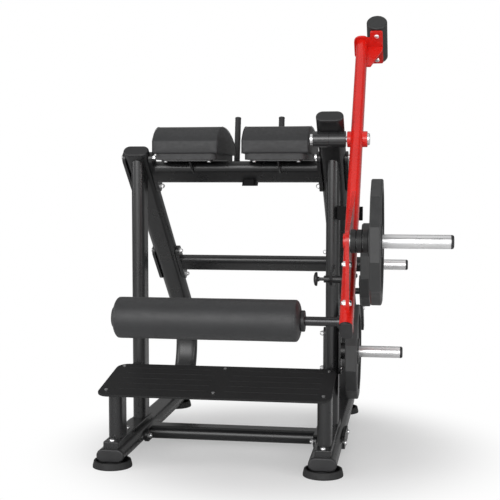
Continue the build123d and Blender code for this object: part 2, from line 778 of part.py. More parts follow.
def make_arm_tube():
    tube = arm_bar() - arm_bar(WALL)
    tube -= rod_x(*HUB_X, PIVOT_Y, PIVOT_Z, HUB_RADIUS)
    tube -= arm_rod(ARM_X - ARM_WIDE, ARM_X + ARM_WIDE, 0, ROLLER_ALONG, ROLLER_SHAFT_RADIUS)
    lock_along = (PIVOT_Z - PIN_Z) / math.cos(math.radians(ARM_STOP_LEAN))
    return tube - arm_rod(ARM_X - ARM_WIDE, ARM_X, 0, lock_along, PIN_RADIUS + 1)


def make_pivot_hub():
    hub = rod_x(*HUB_X, PIVOT_Y, PIVOT_Z, HUB_RADIUS)
    hub = fillet(hub.edges(), 2)
    return hub - rod_x(HUB_X[0] - 1, HUB_X[1] + 1, PIVOT_Y, PIVOT_Z, SHAFT_RADIUS)


def make_arm_gusset():
    """Fin from the arm out to the sleeve boss, with the boss on its inner side."""
    plane = Plane(arm_plane() * Pos(GUSSET_X - GUSSET_THICK / 2 - ARM_X, 0, 0) * Rot(0, 90, 0))
    along, out, radius = GUSSET_TAIL
    rounds = [Pos(-BOSS_ALONG, BOSS_OUT) * Circle(BOSS_RADIUS), Pos(-along, out) * Circle(radius)]
    rounds.extend(Pos(-root, ARM_DEEP / 2 - 7) * Circle(6) for root in GUSSET_ROOT)
    outline = make_hull([edge for circle in rounds for edge in circle.edges()])
    fin = extrude(plane * outline, GUSSET_THICK)
    side = GUSSET_X - GUSSET_THICK / 2
    fin += arm_rod(side - 9, side, BOSS_OUT, BOSS_ALONG, 27)
    for out, along in GUSSET_BOLTS:
        fin -= arm_rod(side - 1, side + GUSSET_THICK + 1, out, along, BOLT_RADIUS + 0.2)
    return fin - arm_bar()


def make_arm_end_cap():
    plane = Plane(arm_plane().offset(ARM_DOWN) * Rot(0, 0, 90))
    return oval_cap(plane, ARM_DEEP, ARM_WIDE, WALL, CAP_THICK, ARM_CAP_ROUND)


def mount_bolt_spots():
    """Counterweight bolts, as distance out from the arm's centre line."""
    return [-MOUNT_BOLT_OFFSET, MOUNT_BOLT_OFFSET]


def make_counterweight_bracket():
    """T-shaped plate across the arm's top end with a gusset down the arm's outer side."""
    plane = arm_plane().offset(-ARM_UP - MOUNT_THICK)
    over_arm = RectangleRounded(ARM_WIDE + 20, ARM_DEEP + 32, 30)
    side_pad = Pos(65.5, 0) * RectangleRounded(55, WEIGHT_LONG - 25, 8)
    joining = Pos(35, 0) * Rectangle(50, 110)
    plate = extrude(plane * (over_arm + joining + side_pad), MOUNT_THICK)
    fin_plane = Plane(origin=(ARM_X, PIVOT_Y, PIVOT_Z), x_dir=(1, 0, 0), z_dir=arm_plane().y_dir)
    corners = [(18, 0), (92, 0), (90, -18), (42, -119), (18, -119)]
    outline = Polygon(*[(x, ARM_UP + drop) for x, drop in corners], align=None)
    fin = extrude(fin_plane * outline, 5, both=True)
    plate += fin - arm_bar()
    for out in mount_bolt_spots():
        plate -= extrude(plane * Pos(WEIGHT_X - ARM_X, out) * Circle(BOLT_HOLE), MOUNT_THICK)
    return plate


def make_counterweight():
    """Round weight lying across the mounting plate, tapped for two bolts."""
    along = ARM_UP + MOUNT_THICK + WEIGHT_RADIUS
    centre = arm_plane().from_local_coords((WEIGHT_X - ARM_X, 0, -along))
    plane = Plane(origin=centre, x_dir=(1, 0, 0), z_dir=arm_plane().y_dir)
    body = extrude(plane * Circle(WEIGHT_RADIUS), WEIGHT_LONG / 2, both=True)
    body = round_edges(body, 8, lambda e: e.geom_type == GeomType.CIRCLE)
    seat = arm_plane().offset(-ARM_UP - MOUNT_THICK)
    for out in mount_bolt_spots():
        body -= extrude(seat * Pos(WEIGHT_X - ARM_X, out) * Circle(BOLT_RADIUS), -20)
    return body


def make_arm_bolts():
    """Counterweight bolts and the gusset's cross bolts with their nuts."""
    bolts = []
    down = arm_plane().z_dir
    for out in mount_bolt_spots():
        at = arm_plane().from_local_coords((WEIGHT_X - ARM_X, out, -ARM_UP))
        bolts.append(bolt(at, -down, MOUNT_THICK + 16))
    right = GUSSET_X + GUSSET_THICK / 2
    left = GUSSET_X - GUSSET_THICK / 2
    for out, along in GUSSET_BOLTS:
        at = arm_plane().from_local_coords((0, out, along))
        bolts.append(bolt((right, at.Y, at.Z), (-1, 0, 0), GUSSET_THICK + NUT_REACH - 1))
        bolts.append(acorn_nut((left, at.Y, at.Z), (-1, 0, 0)))
    return group(bolts)


def boss_at():
    return arm_plane().from_local_coords((0, BOSS_OUT, BOSS_ALONG))


def horn(x0, x1, y, z):
    """Bright round tube that holds plates."""
    return ring_x(x0, x1, y, z, SLEEVE_RADIUS, SLEEVE_RADIUS - SLEEVE_WALL)


def horn_cap(x1, y, z):
    """Dark plug in the outer end of a plate tube."""
    lid = rod_x(x1, x1 + HORN_CAP_HIGH, y, z, SLEEVE_RADIUS)
    lid = round_edges(lid, HORN_CAP_ROUND, lambda e: e.center().X > x1 + HORN_CAP_HIGH / 2)
    return lid + rod_x(x1 - HORN_PLUG_LONG, x1, y, z, SLEEVE_RADIUS - SLEEVE_WALL - 0.2)


def make_loading_sleeve():
    at = boss_at()
    return horn(GUSSET_X + GUSSET_THICK / 2, SLEEVE_END - HORN_CAP_HIGH, at.Y, at.Z)


def make_sleeve_rings():
    at = boss_at()
    rings = []
    for index in range(3):
        x = RING_X + index * RING_PITCH
        ring = rod_x(x, x + RING_WIDE, at.Y, at.Z, RING_RADIUS)
        ring = fillet(ring.edges(), 2)
        rings.append(ring - rod_x(x - 1, x + RING_WIDE + 1, at.Y, at.Z, SLEEVE_RADIUS))
    return group(rings)


def plate(span, y, z, flats):
    """Twelve-sided weight plate; span gives where its hub starts, its rim starts and both end."""
    x0, rim_x, x1 = span
    plane = Plane(origin=(rim_x, y, z), x_dir=(0, 1, 0), z_dir=(1, 0, 0))
    blank = RegularPolygon(flats / 2, PLATE_SIDES, major_radius=False)
    body = extrude(plane * Rot(0, 0, 180 / PLATE_SIDES) * blank, x1 - rim_x)
    body = chamfer([e for e in body.edges() if abs(e.tangent_at(0.5).X) < 0.1], PLATE_CHAMFER)
    web_recess = Circle(flats / 2 - PLATE_RIM_WIDE) - Circle(PLATE_HUB_RADIUS)
    body -= extrude(plane * web_recess, PLATE_RECESS)
    body -= extrude(plane.offset(x1 - rim_x - PLATE_RECESS) * web_recess, PLATE_RECESS)
    if rim_x > x0:
        body += rod_x(x0, rim_x, y, z, PLATE_HUB_RADIUS)
    return body - rod_x(x0 - 1, x1 + 1, y, z, PLATE_BORE)


# ---------------------------------------------------------------- roller
def roller_at():
    return arm_plane().from_local_coords((0, 0, ROLLER_ALONG))


def make_roller_shaft():
    """Steel shaft through the arm, with a welded collar beside the arm."""
    at = roller_at()
    arm_side = ARM_X - ARM_WIDE / 2
    shaft = rod_x(ROLLER_X[0] + 6, ARM_X + ARM_WIDE / 2, at.Y, at.Z, ROLLER_SHAFT_RADIUS)
    return shaft + ring_x(arm_side - 8, arm_side, at.Y, at.Z, 24, ROLLER_SHAFT_RADIUS - 1) - arm_nose()


def arm_nose():
    """Rounded envelope of the arm tube, which the collar is fitted against."""
    at = roller_at()
    bore = rod_x(ARM_X - ARM_WIDE, ARM_X + ARM_WIDE, at.Y, at.Z, ROLLER_SHAFT_RADIUS)
    return arm_bar() - bore


def make_roller_core():
    at = roller_at()
    inner = ROLLER_SHAFT_RADIUS + RUNNING_GAP
    return ring_x(ROLLER_X[0] + 1, ROLLER_X[1] - 1, at.Y, at.Z, CORE_RADIUS, inner)


def make_roller_foam():
    """Foam cylinder with shallow domed ends, turned about the roller's axis."""
    at = roller_at()
    x0, x1 = ROLLER_X
    left = [
        (x0, CORE_RADIUS), (x0, ROLLER_CAP_RADIUS), (x0 + ROLLER_DOME, ROLLER_RADIUS - ROLLER_SHOULDER),
        (x0 + ROLLER_DOME + 4, ROLLER_RADIUS)]
    right = [(x0 + x1 - x, radius) for x, radius in reversed(left)]
    face = make_face(Polyline(*left, *right, close=True))
    axis_plane = Plane(origin=(0, at.Y, at.Z), x_dir=(1, 0, 0), z_dir=(0, -1, 0))
    return revolve(axis_plane * face, Axis((0, at.Y, at.Z), (1, 0, 0)))


def make_roller_caps():
    """End caps pressed on the core tube's ends."""
    at = roller_at()
    caps = []
    for x0, x1 in ROLLER_CAP_X:
        cap = rod_x(x0, x1, at.Y, at.Z, ROLLER_CAP_RADIUS)
        cap = fillet(cap.edges(), 3)
        bore = rod_x(x0 - 1, x1 + 1, at.Y, at.Z, ROLLER_SHAFT_RADIUS + RUNNING_GAP)
        caps.append(cap - bore)
    return group(caps)


# ---------------------------------------------------------------- storage horns
def make_front_storage_horn():
    """Horn with a collar on a plate bolted to the right upright."""
    face = FRAME_X + TUBE_THICK / 2
    seat = face + HORN_PLATE_THICK
    end = seat + FRONT_COLLAR_LONG
    collar = rod_x(seat, end, UPRIGHT_Y, FRONT_HORN_Z, COLLAR_RADIUS)
    collar = round_edges(collar, 4, lambda e: e.center().X > end - 5)
    bore = rod_x(seat, end + 1, UPRIGHT_Y, FRONT_HORN_Z, SLEEVE_RADIUS)
    return horn_plate(face) + (collar - bore)


def horn_plate(x0):
    """Round-ended bolt plate of the front horn."""
    plane = Plane(origin=(x0, UPRIGHT_Y, FRONT_HORN_Z), x_dir=(0, 0, 1), z_dir=(1, 0, 0))
    holes = Pos(-HORN_BOLT_OFFSET, 0) * Circle(BOLT_HOLE) + Pos(HORN_BOLT_OFFSET, 0) * Circle(BOLT_HOLE)
    return extrude(plane * (SlotOverall(HORN_PLATE_LONG, HORN_PLATE_WIDE) - holes), HORN_PLATE_THICK)


def make_rear_horn_collar():
    at = slant_point(MIDDLE_ALONG)
    base = CLAMP_X + CLAMP_THICK
    end = base + REAR_COLLAR_LONG
    collar = rod_x(base, end, at.Y, at.Z, COLLAR_RADIUS)
    collar = round_edges(collar, 4, lambda e: e.center().X > end - 5)
    return collar - rod_x(base - 1, end + 1, at.Y, at.Z, SLEEVE_RADIUS)


def make_storage_tubes():
    rear = slant_point(MIDDLE_ALONG)
    front_base = FRAME_X + TUBE_THICK / 2 + HORN_PLATE_THICK
    return group([
        horn(front_base, FRONT_HORN_END - HORN_CAP_HIGH, UPRIGHT_Y, FRONT_HORN_Z),
        horn(CLAMP_X + CLAMP_THICK, REAR_HORN_END - HORN_CAP_HIGH, rear.Y, rear.Z)])


def make_storage_caps():
    rear = slant_point(MIDDLE_ALONG)
    return group([
        horn_cap(FRONT_HORN_END - HORN_CAP_HIGH, UPRIGHT_Y, FRONT_HORN_Z),
        horn_cap(REAR_HORN_END - HORN_CAP_HIGH, rear.Y, rear.Z)])


# ---------------------------------------------------------------- plate guard
def make_plate_guard():
    """Strip beside the right frame tube, from the slanted run down into the bend, on two spacers."""
    top = slant_point(GUARD_LENGTH)
    straight = Line((top.Y, top.Z), (SLANT_START.Y, SLANT_START.Z))
    bend = JernArc(straight @ 1, straight % 1, BEND_RADIUS, -GUARD_BEND)
    middle = GUARD_X + GUARD_THICK / 2
    path = Plane(origin=(middle, 0, 0), x_dir=(0, 1, 0), z_dir=(1, 0, 0)) * (straight + bend)
    start = Plane(origin=(middle, top.Y, top.Z), x_dir=(1, 0, 0), z_dir=-SLANT_DIR)
    strip = sweep(start * Rectangle(GUARD_THICK, GUARD_WIDE), path)
    for along in GUARD_BOLTS:
        at = slant_point(along)
        strip += rod_x(TUBE_NOSE - 8, GUARD_X, at.Y, at.Z, GUARD_SPACER_RADIUS)
    for along in GUARD_BOLTS:
        at = slant_point(along)
        strip -= rod_x(TUBE_NOSE - 20, GUARD_X + GUARD_THICK + 1, at.Y, at.Z, BOLT_RADIUS + 0.2)
    return strip - RIGHT_BAR


# ---------------------------------------------------------------- stop and pull pin
def stop_face(z, gap):
    """Y of the arm's rear face at height z when the arm is down on its stop, plus a gap."""
    lean = math.radians(ARM_STOP_LEAN)
    return PIVOT_Y - (PIVOT_Z - z) * math.tan(lean) + (ARM_DEEP / 2) / math.cos(lean) + gap



def make_stop_bracket():
    """Block on the outer side of the right upright that carries the rubber bumper."""
    low, high = STOP_Z
    side = FRAME_X + TUBE_THICK / 2
    gap = STOP_GAP + BUMPER_THICK
    face_low = stop_face(low, gap)
    face_high = stop_face(high, gap)
    foot = yz_profile([(455, low), (540, low), (540, high), (455, high)], side, side + 8)
    block = yz_profile([(face_low, low), (500, low), (500, high), (face_high, high)], side, side + 12)
    head_outline = [(face_low, low), (face_low + 40, low), (face_high + 40, high), (face_high, high)]
    head = yz_profile(head_outline, side, BUMPER_X[1])
    return foot + block + head - upright_bar() - RIGHT_BAR


def upright_bar():
    plane = Plane(origin=(FRAME_X, UPRIGHT_Y, RAIL_TOP), x_dir=(0, 1, 0), z_dir=(0, 0, 1))
    return flat_oval(plane, TUBE_WIDE, TUBE_THICK, 1050)


def make_stop_bumper():
    low, high = STOP_Z
    back = STOP_GAP + BUMPER_THICK
    return yz_profile(
        [(stop_face(low, STOP_GAP), low), (stop_face(low, back), low),
         (stop_face(high, back), high), (stop_face(high, STOP_GAP), high)], *BUMPER_X)


def make_pin_barrel():
    """Guide barrel of the pull pin on a plate that reaches forward from the right upright."""
    x0, x1 = BARREL_X
    barrel = rod_x(x0, x1, PIN_Y, PIN_Z, BARREL_RADIUS)
    outline = [(-8, -24), (-24, 0), (-8, 24), (40, 30), (193, 45), (193, -45), (40, -30)]
    carrier = yz_profile([(PIN_Y + y, PIN_Z + z) for y, z in outline], *PIN_PLATE_X)
    body = barrel + (carrier - upright_bar())
    body -= rod_x(x0 + BARREL_END, x1 - BARREL_END, PIN_Y, PIN_Z, BARREL_RADIUS - BARREL_WALL)
    return body - rod_x(x0 - 1, x1 + 1, PIN_Y, PIN_Z, PIN_RADIUS + RUNNING_GAP)


def make_pin():
    """Pull pin with the shoulder that the barrel's spring pushes on."""
    pin = rod_x(*PIN_X, PIN_Y, PIN_Z, PIN_RADIUS)
    pin = round_edges(pin, 2.5, lambda e: e.center().X > PIN_X[1] - 1)
    return pin + rod_x(*SHOULDER_X, PIN_Y, PIN_Z, BARREL_RADIUS - BARREL_WALL - 0.6)


def make_pin_knob():
    """Mushroom knob with a short neck that stays clear of the barrel when the pin goes in."""
    profile = Polyline(
        (371, 0), (372, 14), (376, 26), (380, 29), (386, 29), (388, 12), (390, 10),
        (KNOB_NECK_END, 10), (KNOB_NECK_END, 0), close=True)
    plane = Plane(origin=(0, PIN_Y, PIN_Z), x_dir=(1, 0, 0), z_dir=(0, -1, 0))
    knob = revolve(plane * make_face(profile), Axis((0, PIN_Y, PIN_Z), (1, 0, 0)))
    return knob - rod_x(PIN_X[0], KNOB_NECK_END + 1, PIN_Y, PIN_Z, PIN_RADIUS)


# ---------------------------------------------------------------- assembly
def make_right_upright():
    """Right upright with the holes of the front storage horn."""
    body = make_upright()
    for z in horn_bolt_points():
        body -= rod_x(FRAME_X - TUBE_WIDE, FRAME_X + TUBE_WIDE, UPRIGHT_Y, z, BOLT_HOLE)
    return body


def make_right_frame_tube():
    """Right side frame with the pivot housing let into it and the plate guard's holes."""
    tube = frame_tube(RIGHT_SLANT) - rod_x(*HOUSING_X, PIVOT_Y, PIVOT_Z, HOUSING_RADIUS)
    for along in GUARD_BOLTS:
        at = slant_point(along)
        tube -= rod_x(TUBE_NOSE - 20, TUBE_NOSE + 5, at.Y, at.Z, BOLT_HOLE)
    return tube


def build():
    """All sub-parts in the design frame, by node name."""
    boss = boss_at()
    rear = slant_point(MIDDLE_ALONG)
    leg = make_front_leg()
    return {
        "left_frame_tube": mirror(frame_tube(LEFT_SLANT), about=Plane.YZ),
        "right_frame_tube": make_right_frame_tube(),
        "tube_end_caps": make_tube_end_caps(),
        "left_upright": mirror(make_upright(), about=Plane.YZ),
        "right_upright": make_right_upright(),
        "left_front_leg": mirror(leg, about=Plane.YZ),
        "right_front_leg": leg,
        "base_rails": make_base_rails(),
        "feet": make_feet(),
        "foot_bolts": make_foot_bolts(),
        "upper_crossbeam": beam(upper_section, TUBE_WIDE, TUBE_THICK),
        "middle_crossbeam": beam(middle_section, BEAM_WIDE, BEAM_THICK),
        "lower_crossbeam": beam(lower_beam_plane, TUBE_WIDE, TUBE_THICK),
        "clamp_plates": make_clamp_plates(),
        "frame_bolts": make_frame_bolts(),
        "frame_nuts": make_frame_nuts(),
        "step_plate": make_step_plate(),
        "step_frame": make_step_frame(),
        "step_screws": make_step_screws(),
        "left_hip_pad": make_pad(-1),
        "right_hip_pad": make_pad(1),
        "left_pad_board": make_board(-1),
        "right_pad_board": make_board(1),
        "pad_brackets": make_pad_brackets(),
        "pad_bolts": make_pad_bolts(),
        "handle_arm": make_handle_arm(),
        "grip_posts": make_grip_posts(),
        "grip_sleeves": make_grip_sleeves(),
        "pivot_housing": make_pivot_housing(),
        "pivot_bearings": make_pivot_bearings(),
        "stop_bracket": make_stop_bracket(),
        "stop_bumper": make_stop_bumper(),
        "pin_barrel": make_pin_barrel(),
        "pull_pin": make_pin(),
        "pull_pin_knob": make_pin_knob(),
        "front_storage_horn": make_front_storage_horn(),
        "front_horn_backing": horn_plate(FRAME_X - TUBE_THICK / 2 - HORN_PLATE_THICK),
        "rear_horn_collar": make_rear_horn_collar(),
        "storage_tubes": make_storage_tubes(),
        "storage_caps": make_storage_caps(),
        "plate_guard": make_plate_guard(),
        "front_stored_plate": plate(FRONT_PLATE_X, UPRIGHT_Y, FRONT_HORN_Z, STORED_PLATE_FLATS),
        "rear_stored_plate": plate(REAR_PLATE_X, rear.Y, rear.Z, STORED_PLATE_FLATS),
        "weight_plate": plate(WEIGHT_PLATE_X, boss.Y, boss.Z, WEIGHT_PLATE_FLATS),
        "arm_tube": make_arm_tube(),
        "arm_gusset": make_arm_gusset(),
        "pivot_hub": make_pivot_hub(),
        "pivot_shaft": make_pivot_shaft(),
        "pivot_caps": make_pivot_caps(),
        "arm_end_cap": make_arm_end_cap(),
        "counterweight_bracket": make_counterweight_bracket(),
        "counterweight": make_counterweight(),
        "arm_bolts": make_arm_bolts(),
        "loading_sleeve": make_loading_sleeve(),
        "sleeve_rings": make_sleeve_rings(),
        "sleeve_cap": horn_cap(SLEEVE_END - HORN_CAP_HIGH, boss.Y, boss.Z),
        "roller_shaft": make_roller_shaft(),
        "roller_core": make_roller_core(),
        "roller_foam": make_roller_foam(),
        "roller_caps": make_roller_caps(),
    }


def origin_shift(parts):
    """Move that puts the origin at the bottom centre of the whole machine's box."""
    box = Compound(children=[solid for part in parts.values() for solid in part.solids()]).bounding_box()
    return Pos(-box.center().X, -box.center().Y, -box.min.Z)


def main():
    os.makedirs("parts", exist_ok=True)
    parts = build()
    shift = origin_shift(parts)
    for name, part in parts.items():
        solids = [shift * solid for solid in part.solids()]
        export_step(Compound(children=solids), f"parts/{name}.step")
    print("shift", shift.position)


main()
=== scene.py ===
import math

import bmesh
import bpy
import numpy as np
from mathutils import Euler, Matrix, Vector, noise


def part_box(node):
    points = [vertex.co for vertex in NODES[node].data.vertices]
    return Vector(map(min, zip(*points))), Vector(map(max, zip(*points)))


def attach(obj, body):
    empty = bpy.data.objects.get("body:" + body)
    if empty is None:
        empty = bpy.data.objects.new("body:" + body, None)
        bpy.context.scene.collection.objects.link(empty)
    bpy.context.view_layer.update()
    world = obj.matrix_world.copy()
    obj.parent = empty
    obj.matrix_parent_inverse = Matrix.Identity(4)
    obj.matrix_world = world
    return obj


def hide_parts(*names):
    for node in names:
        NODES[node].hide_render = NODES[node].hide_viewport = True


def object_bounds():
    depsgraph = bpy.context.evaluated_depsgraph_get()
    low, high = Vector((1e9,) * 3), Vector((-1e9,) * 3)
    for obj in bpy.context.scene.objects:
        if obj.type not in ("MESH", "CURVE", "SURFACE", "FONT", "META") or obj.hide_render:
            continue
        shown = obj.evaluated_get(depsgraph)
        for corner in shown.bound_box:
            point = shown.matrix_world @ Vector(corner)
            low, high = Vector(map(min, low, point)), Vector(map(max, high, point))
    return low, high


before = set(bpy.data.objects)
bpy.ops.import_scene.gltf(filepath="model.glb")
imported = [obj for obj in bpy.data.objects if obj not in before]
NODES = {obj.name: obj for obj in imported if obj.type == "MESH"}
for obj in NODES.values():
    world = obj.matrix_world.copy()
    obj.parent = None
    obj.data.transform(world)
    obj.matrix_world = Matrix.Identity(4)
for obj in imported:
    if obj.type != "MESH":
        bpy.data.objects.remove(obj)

CAD_BOX = [list(corner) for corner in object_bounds()]

MM = 0.001

# Camera: place in the row frame (m), turn and lens
CAMERA_PLACE = (0.5721, -4.5071, 1.1741)
CAMERA_PITCH = -0.0676
CAMERA_YAW = 0.1551
CAMERA_LENS = 74.9

# Hip pads: the cover's gap to the foam's outline, its mesh size, and how it is inflated
PAD_INSET = 2.5 * MM
PAD_VOXEL = 4 * MM
PAD_PRESSURE = 4.0
PAD_PUFF = 3 * MM
PAD_STEPS = 20
BASE_REACH = PAD_VOXEL * 1.2
# Cover cloth: solver quality, mass of a point (kg) and stiffness
CLOTH_QUALITY = 5
CLOTH_MASS = 0.4
CLOTH_STRETCH = 40
CLOTH_SHEAR = 20
CLOTH_BEND = 2
SEAM_REACH = 7 * MM
CREASE_REACH = 10 * MM
# Hip pad outline as (depth, height) shares of its box: front crease, bulge, crown, back and back edge
PAD_FRONT_HEIGHT = 0.454
PAD_BULGE = (0.133, 0.882)
PAD_CROWN = (0.3226, 1.0)
PAD_BACK = (0.701, 0.807)
PAD_BACK_EDGE = (1, 0.336)
PIPING_RADIUS = 1.3 * MM
PIPING_INSET = 3.2 * MM
PIPING_PROUD = 0.2 * MM

# Roller: domed ends, a sewn groove at each end and one lengthwise seam
ROLLER_SEGMENTS = 240
ROLLER_STATIONS = 70
ROLLER_DOME = 19 * MM
ROLLER_DOME_STEPS = 18
ROLLER_DOME_POWERS = (0.9, 0.92)
ROLLER_TIP_GAP = 0.3 * MM
ROLLER_HUB_GAP = 2 * MM
ROLLER_SEAM_GAP = 2 * MM
# Where the cover tucks in round the hub: how deep, and to what share of the hub's radius
ROLLER_TUCK_DEPTH = 2 * MM
ROLLER_TUCK_SHARE = 0.7
ROLLER_SKIN = 0.6 * MM
# Slack in the cover: height, and noise scale along and around the roller
SLOW_SLACK = 0.35 * MM
SLOW_SCALE = (9, 1.6)
FINE_SLACK = 0.12 * MM
FINE_SCALE = (34, 5)
MOST_PROUD = 0.5 * MM
END_SEAM_DEPTH = 0.9 * MM
END_SEAM_WIDTH = 1.2 * MM
END_PLEATS = 40
PLEAT_HEIGHT = 0.25 * MM
LONG_SEAM_DEPTH = 1.1 * MM
LONG_SEAM_TURN = 0.9
LONG_SEAM_SPREAD = 0.012
LONG_SEAM_SHARE = 0.9

# Grips: rubber sleeves with moulded rings
GRIP_RADIUS = 14.3 * MM
GRIP_BORE = 12.6 * MM
GRIP_LEAN = math.radians(10.5)
GRIP_SEGMENTS = 72
GROOVE_DEPTH = 1 * MM
RING_HEIGHT = 0.8 * MM
RING_PITCH = 6.5 * MM
FIRST_RING = 12 * MM
PLAIN_TOP = 16 * MM

# Studio: floor glow near the machine, its fade in machine half-lengths, and the light it bounces
FLOOR_GLOW = 0.38
FLOOR_FADE = (0.42, 1.15)
FLOOR_BOUNCE = 0.85
# Surround brightness: by height of the direction from straight down (0) to straight up (1),
# times its facing from the rear (0) to the front (1)
WORLD_HEIGHT = ((0.0, 0.05), (0.4, 0.15), (0.5, 0.9), (0.66, 1.0), (0.8, 0.45), (0.93, 0.1))
WORLD_FACING = ((0.0, 0.3), (0.45, 0.35), (0.7, 0.9), (1.0, 2.5))
FLOOR_SIZE = 60.0
# Softboxes: name, place, target, size (m) and power (W)
SOFTBOXES = (
    ("front_light", (-1.4, -6.5, 2.6), (0.0, 0.0, 0.9), (4.0, 3.0), 90.0),
    ("right_light", (4.6, -2.0, 2.2), (0.2, 0.0, 0.9), (1.4, 2.6), 45.0),
    ("left_light", (-4.6, -1.2, 2.4), (0.0, 0.0, 0.9), (1.4, 2.6), 40.0),
    ("low_light", (0.3, -3.2, 0.06), (0.1, 0.0, 0.7), (3.0, 1.2), 8.0),
    ("top_light", (0.0, 0.4, 6.0), (0.0, 0.0, 0.8), (7.0, 7.0), 100.0))


# ---------------------------------------------------------------- shader building
class Shader:
    """A Principled material built from procedural nodes in object coordinates, which are metres."""

    def __init__(self, name, color, roughness, metallic=0.0):
        self.material = bpy.data.materials.new(name)
        self.material.use_nodes = True
        self.tree = self.material.node_tree
        self.bsdf = self.tree.nodes["Principled BSDF"]
        self.coords = self.tree.nodes.new("ShaderNodeTexCoord").outputs["Object"]
        self.normal = None
        self.set("Base Color", (*color, 1.0))
        self.set("Roughness", roughness)
        self.set("Metallic", metallic)

    def set(self, socket, value):
        self.bsdf.inputs[socket].default_value = value

    def link(self, output, target):
        self.tree.links.new(output, target)

    def node(self, kind, **values):
        made = self.tree.nodes.new(kind)
        for key, value in values.items():
            setattr(made, key, value)
        return made

    def stretched(self, scale):
        """Coordinates scaled by axis, for marks that run along a bar."""
        mapping = self.node("ShaderNodeMapping")
        mapping.inputs["Scale"].default_value = scale
        self.link(self.coords, mapping.inputs["Vector"])
        return mapping.outputs["Vector"]

    def noise(self, scale, detail=3.0, roughness=0.55, stretch=None):
        made = self.node("ShaderNodeTexNoise")
        made.inputs["Scale"].default_value = scale
        made.inputs["Detail"].default_value = detail
        made.inputs["Roughness"].default_value = roughness
        self.link(self.stretched(stretch) if stretch else self.coords, made.inputs["Vector"])
        return made.outputs["Fac"]

    def cells(self, scale, feature="DISTANCE_TO_EDGE"):
        made = self.node("ShaderNodeTexVoronoi", feature=feature)
        made.inputs["Scale"].default_value = scale
        self.link(self.coords, made.inputs["Vector"])
        return made.outputs["Distance"]

    def ramp(self, factor, stops):
        made = self.node("ShaderNodeValToRGB")
        while len(made.color_ramp.elements) < len(stops):
            made.color_ramp.elements.new(0.5)
        for element, (place, color) in zip(made.color_ramp.elements, stops):
            element.position = place
            element.color = (*color, 1.0) if len(color) == 3 else color
        self.link(factor, made.inputs["Fac"])
        return made.outputs["Color"]

    def grey(self, factor, low, high, start=0.3, end=0.7):
        """One number that follows a factor, from low at start to high at end."""
        return self.ramp(factor, [(start, (low,) * 3), (end, (high,) * 3)])

    def mix(self, factor, first, second):
        """Blend from first to second, each a colour or another node's output."""
        made = self.node("ShaderNodeMix", data_type="RGBA")
        self.link(factor, made.inputs["Factor"])
        for socket, value in ((made.inputs["A"], first), (made.inputs["B"], second)):
            if hasattr(value, "is_linked"):
                self.link(value, socket)
            else:
                socket.default_value = (*value, 1.0)
        return made.outputs["Result"]

    def soft_edges(self, radius):
        """Rounds the shading of sharp edges, as a coat of paint or a tumbled edge does."""
        bevel = self.node("ShaderNodeBevel", samples=8)
        bevel.inputs["Radius"].default_value = radius
        self.normal = bevel.outputs["Normal"]

    def edge_mask(self, radius):
        """White along outer edges, black on open faces."""
        bevel = self.node("ShaderNodeBevel", samples=8)
        bevel.inputs["Radius"].default_value = radius
        geometry = self.node("ShaderNodeNewGeometry")
        dot = self.node("ShaderNodeVectorMath", operation="DOT_PRODUCT")
        self.link(bevel.outputs["Normal"], dot.inputs[0])
        self.link(geometry.outputs["Normal"], dot.inputs[1])
        return self.ramp(dot.outputs["Value"], [(0.86, (1, 1, 1)), (0.985, (0, 0, 0))])

    def bump(self, height, distance, strength):
        """Adds relief of a real height on top of any that is already there."""
        made = self.node("ShaderNodeBump")
        made.inputs["Distance"].default_value = distance
        made.inputs["Strength"].default_value = strength
        self.link(height, made.inputs["Height"])
        if self.normal is not None:
            self.link(self.normal, made.inputs["Normal"])
        self.normal = made.outputs["Normal"]

    def done(self, color, roughness=None):
        """Joins the finished colour, roughness and normal to the surface."""
        self.link(color, self.bsdf.inputs["Base Color"])
        if roughness is not None:
            self.link(roughness, self.bsdf.inputs["Roughness"])
        if self.normal is not None:
            self.link(self.normal, self.bsdf.inputs["Normal"])
        return self.material


def shade(color, factor):
    """A darker or lighter version of a colour."""
    return tuple(min(1.0, channel * factor) for channel in color)


def powder_coat(name, color, roughness, edge_lift, specular, grain=900.0):
    """Baked powder coat: orange-peel surface, faint mottling and slightly rubbed edges."""
    shader = Shader(name, color, roughness)
    shader.set("Specular IOR Level", specular)
    shader.soft_edges(0.8 * MM)
    mottled = shader.ramp(
        shader.noise(7.0, 3.0), [(0.3, shade(color, 0.94)), (0.7, shade(color, 1.06))])
    worn = shader.mix(shader.edge_mask(1.2 * MM), mottled, shade(color, edge_lift))
    shader.bump(shader.noise(grain, 2.0), 0.00002, 0.4)
    shader.bump(shader.noise(grain / 5, 2.0), 0.00005, 0.3)
    return shader.done(worn, shader.grey(shader.noise(12.0, 3.0), roughness - 0.02, roughness + 0.03))


def gloss_paint(name, color):
    """Glossy red powder coat with faint orange peel."""
    shader = Shader(name, color, 0.28)
    shader.set("Specular IOR Level", 0.6)
    mottled = shader.ramp(
        shader.noise(6.0, 4.0), [(0.3, shade(color, 0.9)), (0.7, shade(color, 1.08))])
    worn = shader.mix(shader.edge_mask(1.6 * MM), mottled, shade(color, 1.35))
    shader.bump(shader.noise(420.0, 2.0), 0.00002, 0.25)
    return shader.done(worn, shader.grey(shader.noise(24.0, 3.0), 0.22, 0.32))


